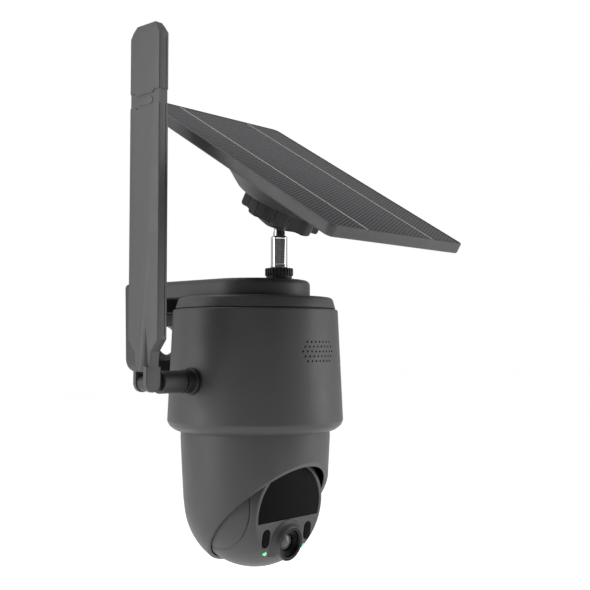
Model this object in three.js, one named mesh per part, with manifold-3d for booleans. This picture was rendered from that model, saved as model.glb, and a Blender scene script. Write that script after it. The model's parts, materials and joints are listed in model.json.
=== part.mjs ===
// A solar-powered pan-and-tilt security camera, in millimetres, +Z up.
//
// The camera hangs from an arm over it. The arm ends in a wall box behind it, a paddle antenna
// stands on its left (-X) side, and a solar panel sits above it on a ball joint. The lens looks
// along -Y. Inside the assembly group the housing's vertical axis is X = 0, Y = 0, and the group
// is then moved so that the origin lies on the wall face, level with the middle of the arm.

import * as THREE from "three";
import { mergeVertices } from "three/addons/utils/BufferGeometryUtils.js";
import Module from "manifold-3d";

const wasm = await Module();
wasm.setup();

// ---------------------------------------------------------------- driving dimensions

const GAP = 0.3; // between pieces that only touch
const WALL_Y = 80; // from the housing's axis back to the wall

const ARM_RADIUS = 31.3; // round front end, and half the arm's width
const ARM_BOTTOM = 13.6;
const ARM_TOP = 23.3;

const BOX_FRONT = 55; // the wall box, front to back
const BOX_BOTTOM = -30;
const RECESS_TOP = 5.7;
const RECESS_BOTTOM = -22.7;
const CABLE_HOLE_RADIUS = 9;
const CABLE_HOLE_Z = -11;

const HOUSING_TOP = 6.5;
const HOUSING_TOP_RADIUS = 47.3;
const HOUSING_FLARE_Z = -55.5; // where the slight cone ends
const HOUSING_FLARE_RADIUS = 50.2;
const HOUSING_BOTTOM = -61.5;
const HOUSING_WALL = 3;

const YOKE_TOP = -58.8;
const YOKE_TOP_RADIUS = 42.6;
const YOKE_RADIUS = 41.2; // at the height of the ball's centre
const YOKE_BORE = 38.6;
const YOKE_CUT = -119.4; // the yoke ends at the plane y + z = this

const BALL_Z = -100.7;
const BALL_RADIUS = 37.85;
const BALL_WALL = 2.25;
const BALL_SEAM = 29; // the two side caps meet the middle shell here
const FACE_DEPTH = 26.7; // from the ball's centre to its flat face
const FACE_TILT = THREE.MathUtils.degToRad(8.4); // how far the face looks down

const LENS_Z = -18.1; // on the face, from its centre
const WINDOW_RADIUS = 24.5;
const WINDOW_CHORD_Z = -4.8;
const OVAL_X = 16.9;
const OVAL_Z = -13.8;
const LED_X = 15.5;
const LED_Z = -22.3;

const STUD_Y = -18.3;
const JOINT_Z = 58; // centre of the panel's ball joint
const PANEL_TILT = THREE.MathUtils.degToRad(31.2);
const PANEL_TOP = 30.4; // from the ball joint to the glass
const PANEL_WIDTH = 113.5;
const PANEL_LENGTH = 164.1;
const PANEL_THICKNESS = 6.1;

const ANTENNA_X = -80; // middle of the blade
const ANTENNA_THICKNESS = 6.2;
const ANTENNA_WIDTH = 23.4;
const ANTENNA_TOP = 153;
const PIVOT_Z = -33;

const PAN_TOOTH = 1.3; // gear tooth sizes (pitch diameter over teeth)
const PAN_TEETH = 30;
const PAN_PINION_TEETH = 10;
const TILT_TOOTH = 0.9;
const TILT_TEETH = 20;
const TILT_PINION_TEETH = 10;

// ---------------------------------------------------------------- finishes

const FINISHES = {
  charcoal: { color: 0x4b4b4c, roughness: 0.62, metalness: 0 },
  darkPlastic: { color: 0x2c2c2d, roughness: 0.6, metalness: 0 },
  antennaPlastic: { color: 0x565657, roughness: 0.6, metalness: 0 },
  blackGloss: { color: 0x0d0d0e, roughness: 0.25, metalness: 0 },
  rubber: { color: 0x1c1c1d, roughness: 0.85, metalness: 0 },
  chrome: { color: 0xd8d8da, roughness: 0.12, metalness: 1 },
  brass: { color: 0xc9a35a, roughness: 0.35, metalness: 1 },
  steel: { color: 0x9a9c9f, roughness: 0.35, metalness: 1 },
  board: { color: 0x1f5c3a, roughness: 0.5, metalness: 0 },
  acetal: { color: 0xe8e6df, roughness: 0.45, metalness: 0 },
  cell: { color: 0x3f7fb0, roughness: 0.4, metalness: 0 },
  solar: { color: 0x2a2a34, roughness: 0.2, metalness: 0 },
  lens: { color: 0x1a2030, roughness: 0.05, metalness: 0 },
  greenLight: { color: 0x50e678, roughness: 0.3, metalness: 0 },
  cyanLight: { color: 0x50dcf0, roughness: 0.3, metalness: 0 },
};

// ---------------------------------------------------------------- shape helpers

function signedVolume(position, index) {
  const [a, b, c] = [0, 1, 2].map(() => new THREE.Vector3());
  let volume = 0;
  for (let i = 0; i < index.length; i += 3) {
    a.fromBufferAttribute(position, index[i]);
    b.fromBufferAttribute(position, index[i + 1]);
    c.fromBufferAttribute(position, index[i + 2]);
    volume += a.dot(b.cross(c)) / 6;
  }
  return volume;
}

// A geometry as a solid: shared corners merged, no empty faces, every face pointing out.
function toSolid(geometry) {
  const bare = geometry.clone();
  bare.deleteAttribute("normal");
  bare.deleteAttribute("uv");
  const merged = mergeVertices(bare, 1e-4);
  const corners = merged.index.array;
  const faces = [];
  for (let i = 0; i < corners.length; i += 3) {
    const [a, b, c] = corners.slice(i, i + 3);
    if (a !== b && b !== c && c !== a) faces.push(a, b, c);
  }
  if (signedVolume(merged.attributes.position, faces) < 0) faces.reverse();
  return new wasm.Manifold(new wasm.Mesh({
    numProp: 3,
    vertProperties: new Float32Array(merged.attributes.position.array),
    triVerts: new Uint32Array(faces),
  }));
}

function toGeometry(solid) {
  const { vertProperties, triVerts } = solid.getMesh();
  const geometry = new THREE.BufferGeometry();
  geometry.setAttribute("position", new THREE.BufferAttribute(new Float32Array(vertProperties), 3));
  geometry.setIndex(new THREE.BufferAttribute(new Uint32Array(triVerts), 1));
  geometry.computeVertexNormals();
  return geometry;
}

function combine(operation, first, ...others) {
  let solid = toSolid(first);
  for (const other of others) solid = solid[operation](toSolid(other));
  return toGeometry(solid);
}

const join = (...shapes) => combine("add", ...shapes);
const cut = (...shapes) => combine("subtract", ...shapes);
const common = (...shapes) => combine("intersect", ...shapes);

// A profile of [radius, height] points, turned round the Z axis.
function turned(profile, segments = 32) {
  const points = profile.map(([radius, height]) => new THREE.Vector2(radius, height));
  return new THREE.LatheGeometry(points, segments).rotateX(Math.PI / 2);
}

function disc(radius, bottom, top, segments = 32) {
  return turned([[0, bottom], [radius, bottom], [radius, top], [0, top]], segments);
}

function tube(outer, inner, bottom, top, segments = 32) {
  const profile = [[inner, bottom], [outer, bottom], [outer, top], [inner, top], [inner, bottom]];
  return turned(profile, segments);
}

function block(x0, x1, y0, y1, z0, z1) {
  const box = new THREE.BoxGeometry(x1 - x0, y1 - y0, z1 - z0);
  return box.translate((x0 + x1) / 2, (y0 + y1) / 2, (z0 + z1) / 2);
}

function prism(shape, bottom, top, options = {}) {
  const settings = { depth: top - bottom, bevelEnabled: false, curveSegments: 4, ...options };
  return new THREE.ExtrudeGeometry(shape, settings).translate(0, 0, bottom);
}

function sphere(radius, segments = 32) {
  return new THREE.SphereGeometry(radius, segments, segments / 2).rotateX(Math.PI / 2);
}

// Points on a circle in a turned profile, from one angle to another, measured up from the radius.
function arc(radius, from, to, steps, centreHeight = 0) {
  return Array.from({ length: steps + 1 }, (_, i) => {
    const angle = THREE.MathUtils.degToRad(from + ((to - from) * i) / steps);
    return [radius * Math.cos(angle), centreHeight + radius * Math.sin(angle)];
  });
}

function roundedRectangle(halfX, halfY, radius) {
  const shape = new THREE.Shape();
  shape.absarc(halfX - radius, halfY - radius, radius, 0, Math.PI / 2);
  shape.absarc(radius - halfX, halfY - radius, radius, Math.PI / 2, Math.PI);
  shape.absarc(radius - halfX, radius - halfY, radius, Math.PI, Math.PI * 1.5);
  shape.absarc(halfX - radius, radius - halfY, radius, Math.PI * 1.5, Math.PI * 2);
  return shape;
}

function polygon(points) {
  return new THREE.Shape(points.map(([x, y]) => new THREE.Vector2(x, y)));
}

// A spur gear's outline: involute flanks, thinned for backlash. One tooth points along toothAngle.
function gearOutline(teeth, toothSize, toothAngle) {
  const pressure = THREE.MathUtils.degToRad(20);
  const pitch = (teeth * toothSize) / 2;
  const base = pitch * Math.cos(pressure);
  const involute = (angle) => Math.tan(angle) - angle;
  const halfTooth = Math.PI / (2 * teeth) - (0.11 * toothSize) / pitch;
  const halfAngleAt = (radius) =>
    halfTooth + involute(pressure) - involute(Math.acos(Math.min(1, base / radius)));
  const radii = [pitch - 1.05 * toothSize, pitch, pitch + 0.75 * toothSize];
  const points = [];
  for (let i = 0; i < teeth; i += 1) {
    const centre = toothAngle + (i * 2 * Math.PI) / teeth;
    const flank = radii.map((radius) => [radius, halfAngleAt(radius)]);
    for (const [radius, half] of flank) points.push([radius, centre - half]);
    for (const [radius, half] of flank.reverse()) points.push([radius, centre + half]);
  }
  return polygon(points.map(([r, a]) => [r * Math.cos(a), r * Math.sin(a)]));
}

function piece(name, finish, geometry) {
  const material = new THREE.MeshStandardMaterial(FINISHES[finish]);
  const mesh = new THREE.Mesh(toGeometry(toSolid(geometry)), material);
  mesh.name = name;
  return mesh;
}

function group(...members) {
  const holder = new THREE.Group();
  holder.add(...members);
  return holder;
}

// ---------------------------------------------------------------- wall bracket

function wallBracket() {
  const top = new THREE.Shape();
  top.absarc(0, 0, ARM_RADIUS, Math.PI, 2 * Math.PI);
  top.lineTo(ARM_RADIUS, WALL_Y);
  top.lineTo(-ARM_RADIUS, WALL_Y);
  const edge = 2.5;
  const bevel = { bevelEnabled: true, bevelSize: edge, bevelThickness: edge, bevelSegments: 2 };
  const arm = prism(top, ARM_BOTTOM, ARM_TOP - edge, { ...bevel, bevelOffset: -edge, curveSegments: 16 });
  const armOnly = cut(
    arm,
    block(-40, 40, -40, 100, ARM_BOTTOM - 10, ARM_BOTTOM),
    block(-40, 40, WALL_Y - 2 * edge, 100, ARM_BOTTOM - 10, ARM_TOP + 10),
  );
  const boxSide = roundedRectangle(ARM_RADIUS, (ARM_TOP - BOX_BOTTOM) / 2, 4);
  const boxDepth = WALL_Y - BOX_FRONT;
  const box = prism(boxSide, 0, boxDepth, { curveSegments: 4 })
    .rotateX(Math.PI / 2)
    .translate(0, WALL_Y, (ARM_TOP + BOX_BOTTOM) / 2);
  const side = 3;
  const backWall = 4;
  const recess = block(
    side - ARM_RADIUS, ARM_RADIUS - side, BOX_FRONT - 5, WALL_Y - backWall, RECESS_BOTTOM, RECESS_TOP,
  );
  const across = (radius, x, z) => disc(radius, 0, 20, 20)
    .rotateX(Math.PI / 2)
    .translate(x, WALL_Y + 8, z);
  const screwHoles = [[-22, 0], [22, 0], [-22, -17], [22, -17]].map(([x, z]) => across(2.3, x, z));
  const insertHole = disc(5.5, ARM_BOTTOM + 1, ARM_TOP + 5, 20).translate(0, STUD_Y, 0);
  const cableHole = across(CABLE_HOLE_RADIUS, 0, CABLE_HOLE_Z);
  return piece(
    "wall_bracket", "darkPlastic",
    cut(join(armOnly, box), recess, cableHole, insertHole, ...screwHoles),
  );
}

// ---------------------------------------------------------------- fixed housing

function housingRadius(z) {
  const along = (HOUSING_TOP - 1.1 - z) / (HOUSING_TOP - 1.1 - HOUSING_FLARE_Z);
  return HOUSING_TOP_RADIUS + along * (HOUSING_FLARE_RADIUS - HOUSING_TOP_RADIUS);
}

function topCap() {
  const rim = 46;
  const crown = ARM_BOTTOM - 0.2;
  const profile = [
    [0, crown], [41.6, crown], [43.5, crown - 0.6], [44.6, crown - 1.8], [45.2, crown - 3.8],
    [rim, HOUSING_TOP + GAP], [43.9, HOUSING_TOP + GAP], [43.9, 6], [42.7, 6], [42.7, 4], [43.9, 4],
    [43.9, 3.2], [41.8, 3.2], [41.8, crown - 2.2], [0, crown - 2.2],
  ];
  return piece("top_cap", "charcoal", turned(profile, 36));
}

function speakerHoles(z) {
  const pitch = 3;
  const rows = [7, 8, 9, 8, 7];
  const holes = [];
  rows.forEach((count, row) => {
    for (let i = 0; i < count; i += 1) {
      const x = (i - (count - 1) / 2) * pitch;
      const height = z + (2 - row) * pitch * 0.866;
      holes.push(disc(0.6, 38, 52, 6).rotateX(Math.PI / 2).translate(x, 0, height));
    }
  });
  return holes;
}

const PORT_Z = -30;
const BUTTON_Z = -12;

function upperHousing() {
  const inside = (z) => housingRadius(z) - HOUSING_WALL;
  const profile = [
    [44.2, HOUSING_TOP], [45.8, HOUSING_TOP], [HOUSING_TOP_RADIUS, HOUSING_TOP - 1.1],
    [HOUSING_FLARE_RADIUS, HOUSING_FLARE_Z], [50.1, -57.3], [49, -58.7], [46.3, -60.9],
    [43.4, HOUSING_BOTTOM], [43.4, HOUSING_BOTTOM + 1.6], [inside(-54), -58.8], [inside(-54), -54],
    [44.2, HOUSING_TOP - 1], [44.2, HOUSING_TOP],
  ];
  const jackHole = disc(3.6, 30, 60, 16).rotateY(-Math.PI / 2).translate(0, 0, PIVOT_Z);
  const portPocket = block(46.9, 60, -11, 11, PORT_Z - 6, PORT_Z + 6);
  const portOpening = block(40, 60, -7, 7, PORT_Z - 3.5, PORT_Z + 3.5);
  const buttonHole = disc(4.2, 30, 60, 16).rotateY(Math.PI / 2).translate(0, 0, BUTTON_Z);
  return piece(
    "upper_housing", "charcoal",
    cut(turned(profile, 40), ...speakerHoles(-17.1), jackHole, portPocket, portOpening, buttonHole),
  );
}

function basePlate() {
  const bottom = -54.6;
  const top = -51.8;
  const bayBottom = -58.4;
  const edge = 46.3;
  const boreRadius = 14;
  const behind = (y) => block(-60, 60, y, 60, bayBottom - 1, top + 10);
  const bayOutside = common(tube(edge, 20.9, bayBottom, top, 36), behind(10));
  const bayInside = common(tube(44.6, 22.4, bayBottom + 1.8, top + 2, 36), behind(11.8));
  const plate = cut(tube(edge, boreRadius, bottom, top, 36), bayOutside);
  const motorHole = disc(4, bottom - 1, top + 1, 16).translate(...panMotorPlace());
  const screwHoles = screwPlaces().map(([x, y]) => disc(1.8, bottom - 1, top + 1, 10).translate(x, y, 0));
  return piece(
    "base_plate", "darkPlastic", cut(join(plate, bayOutside), bayInside, motorHole, ...screwHoles),
  );
}

function screwPlaces() {
  return [195, 255, 345].map((degrees) => {
    const angle = THREE.MathUtils.degToRad(degrees);
    return [40 * Math.cos(angle), 40 * Math.sin(angle)];
  });
}

function baseScrews() {
  const profile = [[0, -56], [1.5, -56], [1.5, -51.6], [3, -51.6], [3, -49.8], [0, -49.8]];
  return screwPlaces().map(([x, y], i) =>
    piece(`base_screw_${i + 1}`, "steel", turned(profile, 12).translate(x, y, 0)));
}

function batteryCells() {
  const cell = [[0, 0], [9.1, 0], [9.1, 64], [3, 64], [3, 65], [0, 65]];
  const floor = -56.3;
  const radius = 31.8;
  return [45, 90, 135].map((degrees, i) => {
    const angle = THREE.MathUtils.degToRad(degrees);
    const geometry = turned(cell, 20).translate(radius * Math.cos(angle), radius * Math.sin(angle), floor);
    return piece(`battery_cell_${i + 1}`, "cell", geometry);
  });
}

function mainBoard() {
  const top = 2.6;
  const plate = common(block(-34, 34, -36, 12, 1, top), disc(38, 0, 10, 32));
  const modem = block(-24, 2, -18, 4, top - 0.5, top + 2.6);
  const processor = block(8, 20, -16, -4, top - 0.5, top + 1.4);
  const socket = block(10, 24, 1, 8, top - 0.5, top + 4.5);
  return piece("main_board", "board", join(plate, modem, processor, socket));
}

function speakerDriver() {
  const profile = [
    [0, 30], [8, 30], [8, 35], [13.6, 39.4], [13.6, 42.2], [11.6, 42.2], [6, 38.8], [4, 40.4], [0, 41],
  ];
  return piece("speaker_driver", "darkPlastic", turned(profile, 18).rotateX(Math.PI / 2).translate(0, 0, -17.1));
}

// The board behind the charging socket and the power button.
function portBoard() {
  const board = block(39, 40.6, -12, 12, -42, -4);
  const socket = block(40, 46.2, -4.6, 4.6, PORT_Z - 1.7, PORT_Z + 1.7);
  const socketMouth = block(41.5, 50, -4.1, 4.1, PORT_Z - 1.2, PORT_Z + 1.2);
  const button = disc(1.8, 40, 42.1, 12).rotateY(Math.PI / 2).translate(0, 0, BUTTON_Z);
  return piece("port_board", "board", join(cut(join(board, socket), socketMouth), button));
}

function portCover() {
  const lid = common(
    disc(housingRadius(PORT_Z), PORT_Z - 5.7, PORT_Z + 5.7, 64),
    block(47.2, 60, -10.7, 10.7, PORT_Z - 10, PORT_Z + 10),
  );
  const plug = block(44.6, 47.5, -6.6, 6.6, PORT_Z - 3.1, PORT_Z + 3.1);
  const plugHollow = block(44, 46.8, -5.4, 5.4, PORT_Z - 2.3, PORT_Z + 2.3);
  return piece("port_cover", "rubber", cut(join(lid, plug), plugHollow));
}

function powerButton() {
  const face = housingRadius(BUTTON_Z) + 0.6;
  const profile = [[0, 43], [5.2, 43], [5.2, 44.2], [3.9, 44.2], [3.9, face - 0.6], [3.3, face], [0, face]];
  return piece("power_button", "rubber", turned(profile, 20).rotateY(Math.PI / 2).translate(0, 0, BUTTON_Z));
}

function housingPieces() {
  return [
    topCap(),
    piece("cap_seal", "rubber", tube(44.05, 42.9, 4.2, 5.8, 36)),
    upperHousing(),
    basePlate(),
    ...baseScrews(),
    ...batteryCells(),
    mainBoard(),
    speakerDriver(),
    portBoard(),
    portCover(),
    powerButton(),
  ];
}

// ---------------------------------------------------------------- pan drive and yoke

function panMotorPlace() {
  const distance = ((PAN_TEETH + PAN_PINION_TEETH) * PAN_TOOTH) / 2;
  const angle = THREE.MathUtils.degToRad(225);
  return [distance * Math.cos(angle), distance * Math.sin(angle), 0];
}

function panDrive() {
  const [x, y] = panMotorPlace();
  const meshAngle = Math.atan2(y, x);
  const gearBottom = -58.5;
  const gearTop = -55;
  const pinionGap = meshAngle + Math.PI + Math.PI / PAN_PINION_TEETH;
  const gear = cut(
    prism(gearOutline(PAN_TEETH, PAN_TOOTH, meshAngle), gearBottom, gearTop),
    disc(10.3, gearBottom - 1, gearTop + 1, 24),
  );
  const pinion = join(
    prism(gearOutline(PAN_PINION_TEETH, PAN_TOOTH, pinionGap), gearBottom, gearTop),
    disc(2.5, gearTop - 1, -51.8, 12),
  );
  const motor = join(disc(11, -51.4, -34, 24), block(-8, 8, 8, 14, -50, -38).rotateZ(Math.PI / 4));
  return [
    piece("pan_gear", "acetal", gear),
    piece("pan_pinion", "acetal", pinion.translate(x, y, 0)),
    piece("pan_motor", "steel", motor.translate(x, y, 0)),
    piece("pan_bearing", "acetal", turned([
      [10.3, -54.8], [13.8, -54.8], [13.8, -51.6], [15.2, -51.6], [15.2, -50.6], [10.3, -50.6], [10.3, -54.8],
    ], 20)),
    piece("hub_nut", "steel", tube(13.6, 10.2, -50.3, -47.5, 24)),
  ];
}

function turntable() {
  const profile = [
    [6.5, -62.1], [39.9, -62.1], [39.9, YOKE_TOP], [10, YOKE_TOP], [10, -47], [6.5, -47], [6.5, -62.1],
  ];
  return piece("turntable", "darkPlastic", turned(profile, 28));
}

function yokeShell() {
  const outer = [
    ...arc(YOKE_RADIUS - 0.4, -90, -6, 8, BALL_Z), [YOKE_RADIUS, BALL_Z + 1],
    [YOKE_TOP_RADIUS, -66], [YOKE_TOP_RADIUS, YOKE_TOP],
  ];
  const inner = [[40.2, YOKE_TOP], [40.2, -66], [YOKE_BORE, BALL_Z + 4], ...arc(YOKE_BORE, 0, -90, 8, BALL_Z)];
  const body = turned([...outer, ...inner], 36);
  const cutter = block(-80, 80, -80, 80, -160, 0)
    .rotateX(-Math.PI / 4)
    .translate(0, 0, YOKE_CUT);
  const axleBore = disc(3.2, -(YOKE_RADIUS - 1), YOKE_RADIUS - 1, 16).rotateY(Math.PI / 2).translate(0, 0, BALL_Z);
  return piece("yoke_shell", "charcoal", cut(body, cutter, axleBore));
}

// The two pins that the ball tilts on. They are fixed in the yoke's walls.
function tiltPins() {
  const pin = disc(2.9, 31.5, 40, 16).rotateY(-Math.PI / 2).translate(0, 0, BALL_Z);
  const axle = disc(2.9, 22.4, 40, 16).rotateY(Math.PI / 2).translate(0, 0, BALL_Z);
  const gear = cut(
    prism(gearOutline(TILT_TEETH, TILT_TOOTH, 0), 24.4, 27.6),
    disc(3.2, 20, 30, 16),
  );
  return [
    piece("trunnion_pin", "steel", pin),
    piece("tilt_axle", "steel", axle),
    piece("tilt_gear", "acetal", gear.rotateY(Math.PI / 2).rotateX(FACE_TILT + Math.PI / 2).translate(0, 0, BALL_Z)),
  ];
}

// ---------------------------------------------------------------- tilting ball
// Drawn with its face towards -Y and its centre at the origin, then turned to look down.

function facing(geometry, x = 0, z = 0) {
  return geometry.rotateX(Math.PI / 2).translate(x, 0, z);
}

function windowShape(grow = 0) {
  const chord = WINDOW_CHORD_Z - grow;
  const radius = WINDOW_RADIUS + grow;
  const start = Math.asin(chord / radius);
  const shape = new THREE.Shape();
  shape.absarc(0, 0, radius, start, Math.PI - start);
  return shape;
}

function ovalShape(halfWidth, halfHeight) {
  return roundedRectangle(halfWidth, halfHeight, halfWidth - 0.01);
}

function ballShell() {
  const seam = BALL_SEAM - GAP / 2;
  const inside = BALL_RADIUS - BALL_WALL;
  const outer = common(sphere(BALL_RADIUS, 32), block(-seam, seam, -FACE_DEPTH, 60, -60, 60));
  const hollow = common(sphere(inside, 20), block(-60, 60, BALL_WALL - FACE_DEPTH, 60, -60, 60));
  const through = (shape, x = 0, z = 0) => facing(prism(shape, 15, 40), x, z);
  const windowRecess = facing(prism(windowShape(0.3), FACE_DEPTH - 1.3, 40, { curveSegments: 16 }));
  const windowOpening = facing(prism(windowShape(-2), 15, 40));
  const collarTop = [[9.6, 30], [9.1, 30.4], [0, 30.4]];
  const flare = [[0, 24.6], [13, 24.6], [13, FACE_DEPTH], [10.8, 28.2], ...collarTop];
  const collar = [[0, 24.6], [9.7, 24.6], [9.7, 29], ...collarTop];
  // The flare stays inside the ball's own radius, so that it tilts past the yoke's edge.
  const lensCollar = join(
    common(facing(turned(flare, 24), 0, LENS_Z), sphere(BALL_RADIUS + GAP, 32)),
    facing(turned(collar, 24), 0, LENS_Z),
  );
  const lensBore = facing(disc(8.9, 15, 40, 24), 0, LENS_Z);
  return piece("ball_shell", "charcoal", cut(
    join(cut(outer, hollow), lensCollar), lensBore, windowRecess, windowOpening,
    through(ovalShape(3.05, 5.15), OVAL_X, OVAL_Z),
    through(ovalShape(3.05, 5.15), -OVAL_X, OVAL_Z),
    facing(disc(1.3, 15, 40, 8), LED_X, LED_Z),
    facing(disc(1.3, 15, 40, 8), -LED_X, LED_Z),
    facing(disc(0.5, 15, 40, 6), -12.6, -24),
  ));
}

function ballCap(name, side) {
  const seam = BALL_SEAM + GAP / 2;
  const outer = common(sphere(BALL_RADIUS, 32), block(seam, 60, -60, 60, -60, 60));
  const shell = cut(
    outer,
    common(sphere(BALL_RADIUS - BALL_WALL, 20), block(0, 60, -60, 60, -60, 60)),
    disc(3.3, 20, 60, 16).rotateY(Math.PI / 2),
  );
  return piece(name, "charcoal", side > 0 ? shell : shell.rotateZ(Math.PI));
}

function cameraPieces() {
  const lensBezel = [
    [7.2, 21], [8.6, 21], [8.6, 30], [8.3, 30.4], [7.6, 30], [7.2, 29.2], [7.2, 21],
  ];
  const lensBarrel = [[0, 9], [6.9, 9], [6.9, 28.7], [5.2, 27.6], [4.9, 24.7], [0, 24.7]];
  const lensGlass = [[0, 24.9], [4.5, 24.9], [4.5, 26.1], ...arc(7.4, 52, 90, 4, 20.4)];
  const led = [[0, 21.6], [1.05, 21.6], [1.05, 25.8], [0.7, 26.2], [0, 26.3]];
  const lightBoard = cut(
    block(-19, 19, -21.6, -20.2, -1, 20),
    block(-30, 30, -30, -10, 16, 40).translate(0, 0, 2),
  );
  const lights = [-12, 0, 12].map((x) => facing(disc(3, 20, 22.2, 12), x, 9));
  return [
    piece("light_window", "blackGloss", facing(prism(windowShape(), FACE_DEPTH - 1, FACE_DEPTH, { curveSegments: 16 }))),
    piece("sensor_window_left", "blackGloss", facing(prism(ovalShape(2.75, 4.85), 24.3, FACE_DEPTH), -OVAL_X, OVAL_Z)),
    piece("sensor_window_right", "blackGloss", facing(prism(ovalShape(2.75, 4.85), 24.3, FACE_DEPTH), OVAL_X, OVAL_Z)),
    piece("lens_bezel", "blackGloss", facing(turned(lensBezel, 20), 0, LENS_Z)),
    piece("lens_barrel", "blackGloss", facing(turned(lensBarrel, 18), 0, LENS_Z)),
    piece("lens_glass", "lens", facing(turned(lensGlass, 16), 0, LENS_Z)),
    piece("status_led", "greenLight", facing(turned(led, 12), -LED_X, LED_Z)),
    piece("signal_led", "cyanLight", facing(turned(led, 12), LED_X, LED_Z)),
    piece("light_board", "board", join(lightBoard, ...lights)),
    piece("sensor_board", "board", block(-11, 11, -8.6, -7, LENS_Z - 9, LENS_Z + 11)),
  ];
}

function tiltMotor() {
  const offset = ((TILT_TEETH + TILT_PINION_TEETH) * TILT_TOOTH) / 2;
  const body = join(disc(7, -6, 18, 20), disc(4, 17, 20, 16)).rotateY(Math.PI / 2);
  // The gear's tooth points at the pinion, and the pinion has a gap there.
  const gapAngle = Math.PI / TILT_PINION_TEETH;
  const pinion = join(
    prism(gearOutline(TILT_PINION_TEETH, TILT_TOOTH, gapAngle), 24.4, 27.6),
    disc(1.4, 20.4, 25, 10),
  );
  return [
    piece("tilt_motor", "steel", body.translate(0, offset, 0)),
    piece("tilt_pinion", "acetal", pinion.rotateY(Math.PI / 2).rotateX(Math.PI / 2).translate(0, offset, 0)),
  ];
}

function tiltingBall() {
  const ball = group(
    ballShell(),
    ballCap("ball_cap_right", 1),
    ballCap("ball_cap_left", -1),
    ...cameraPieces(),
    ...tiltMotor(),
  );
  ball.position.z = BALL_Z;
  ball.rotation.x = FACE_TILT;
  return ball;
}

// ---------------------------------------------------------------- antenna

function antennaBlade() {
  const half = ANTENNA_WIDTH / 2;
  const bottom = -17;
  const outline = polygon([
    [-half, -10.8], [-6.5, bottom], [6.5, bottom], [half, -10.8], [half, ANTENNA_TOP - 6],
    [half - 4.4, ANTENNA_TOP], [4.4 - half, ANTENNA_TOP], [-half, ANTENNA_TOP - 6],
  ]);
  // Extruded along X: the outline's first axis becomes Y and its second becomes Z.
  const alongX = (shape, x0, x1, options) => prism(shape, x0, x1, options)
    .rotateX(Math.PI / 2)
    .rotateZ(Math.PI / 2);
  const face = ANTENNA_THICKNESS / 2;
  const blade = alongX(outline, -face, face);
  const forkHalfX = 4.85;
  const forkHalfY = 5.5;
  const neck = block(-forkHalfX, forkHalfX, -forkHalfY, forkHalfY, PIVOT_Z, -14);
  const foot = disc(forkHalfX, -forkHalfY, forkHalfY, 24).rotateX(Math.PI / 2).translate(0, 0, PIVOT_Z);
  const ridge = turned([[0, -18], [forkHalfX, -18], [3.15, 4.5], [0, 4.5]], 16);
  const slot = block(-10, 10, -3, 3, -60, -27.2);
  const pinHole = disc(1.5, -4.8, 4.8, 12).rotateX(Math.PI / 2).translate(0, 0, PIVOT_Z);
  const radiatorSlot = join(block(-0.9, 0.9, -2.5, 2.5, -30, -13), block(-0.9, 0.9, -7, 7, -14, 142));
  return piece(
    "antenna_blade", "antennaPlastic",
    cut(join(blade, neck, foot, ridge), slot, pinHole, radiatorSlot),
  );
}

function antenna() {
  const barrelRadius = 5.95;
  const tongue = join(
    disc(4.4, -2.7, 2.7, 16).rotateX(Math.PI / 2),
    block(0, 10, -2.7, 2.7, -4.2, 4.2),
    disc(barrelRadius, 7.6, 23.4, 20).rotateY(Math.PI / 2),
  );
  const jackBore = disc(3.5, 18, 40, 16).rotateY(Math.PI / 2);
  const pinHole = disc(1.5, -10, 10, 12).rotateX(Math.PI / 2);
  const knuckle = cut(tongue, jackBore, pinHole).translate(0, 0, PIVOT_Z);
  const pin = disc(1.2, -4.6, 4.6, 12).rotateX(Math.PI / 2).translate(0, 0, PIVOT_Z);
  const radiator = join(block(-0.6, 0.6, -2.2, 2.2, -20, -13), block(-0.6, 0.6, -6.7, 6.7, -13.7, 138));
  const holder = group(
    antennaBlade(),
    piece("antenna_knuckle", "darkPlastic", knuckle),
    piece("antenna_pin", "steel", pin),
    piece("antenna_radiator", "board", radiator),
  );
  holder.position.x = ANTENNA_X;
  return holder;
}

function antennaFittings() {
  const towardsAntenna = (geometry) => geometry.rotateY(-Math.PI / 2).translate(0, 0, PIVOT_Z);
  const jack = towardsAntenna(tube(3.2, 1.2, 41, 60, 16));
  const seal = towardsAntenna(turned([
    [3.6, 49.6], [7, 49.6], [7, 50.7], [6.2, 51.2], [6.2, 56.3], [3.6, 56.3], [3.6, 49.6],
  ], 24));
  const route = new THREE.CatmullRomCurve3([
    new THREE.Vector3(-40.6, 0, PIVOT_Z),
    new THREE.Vector3(-36, -1, PIVOT_Z + 1),
    new THREE.Vector3(-31, -3, PIVOT_Z + 12),
    new THREE.Vector3(-31, -4, -10),
    new THREE.Vector3(-30, -5, 0.6),
  ]);
  const section = new THREE.Shape();
  section.absarc(0, 0, 0.9, 0, 2 * Math.PI);
  const lead = new THREE.ExtrudeGeometry(section, { steps: 14, extrudePath: route, curveSegments: 4 });
  return [
    piece("antenna_jack", "brass", jack),
    piece("jack_seal", "rubber", seal),
    piece("antenna_lead", "rubber", lead),
  ];
}

// ---------------------------------------------------------------- panel stalk and ball joint

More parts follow.
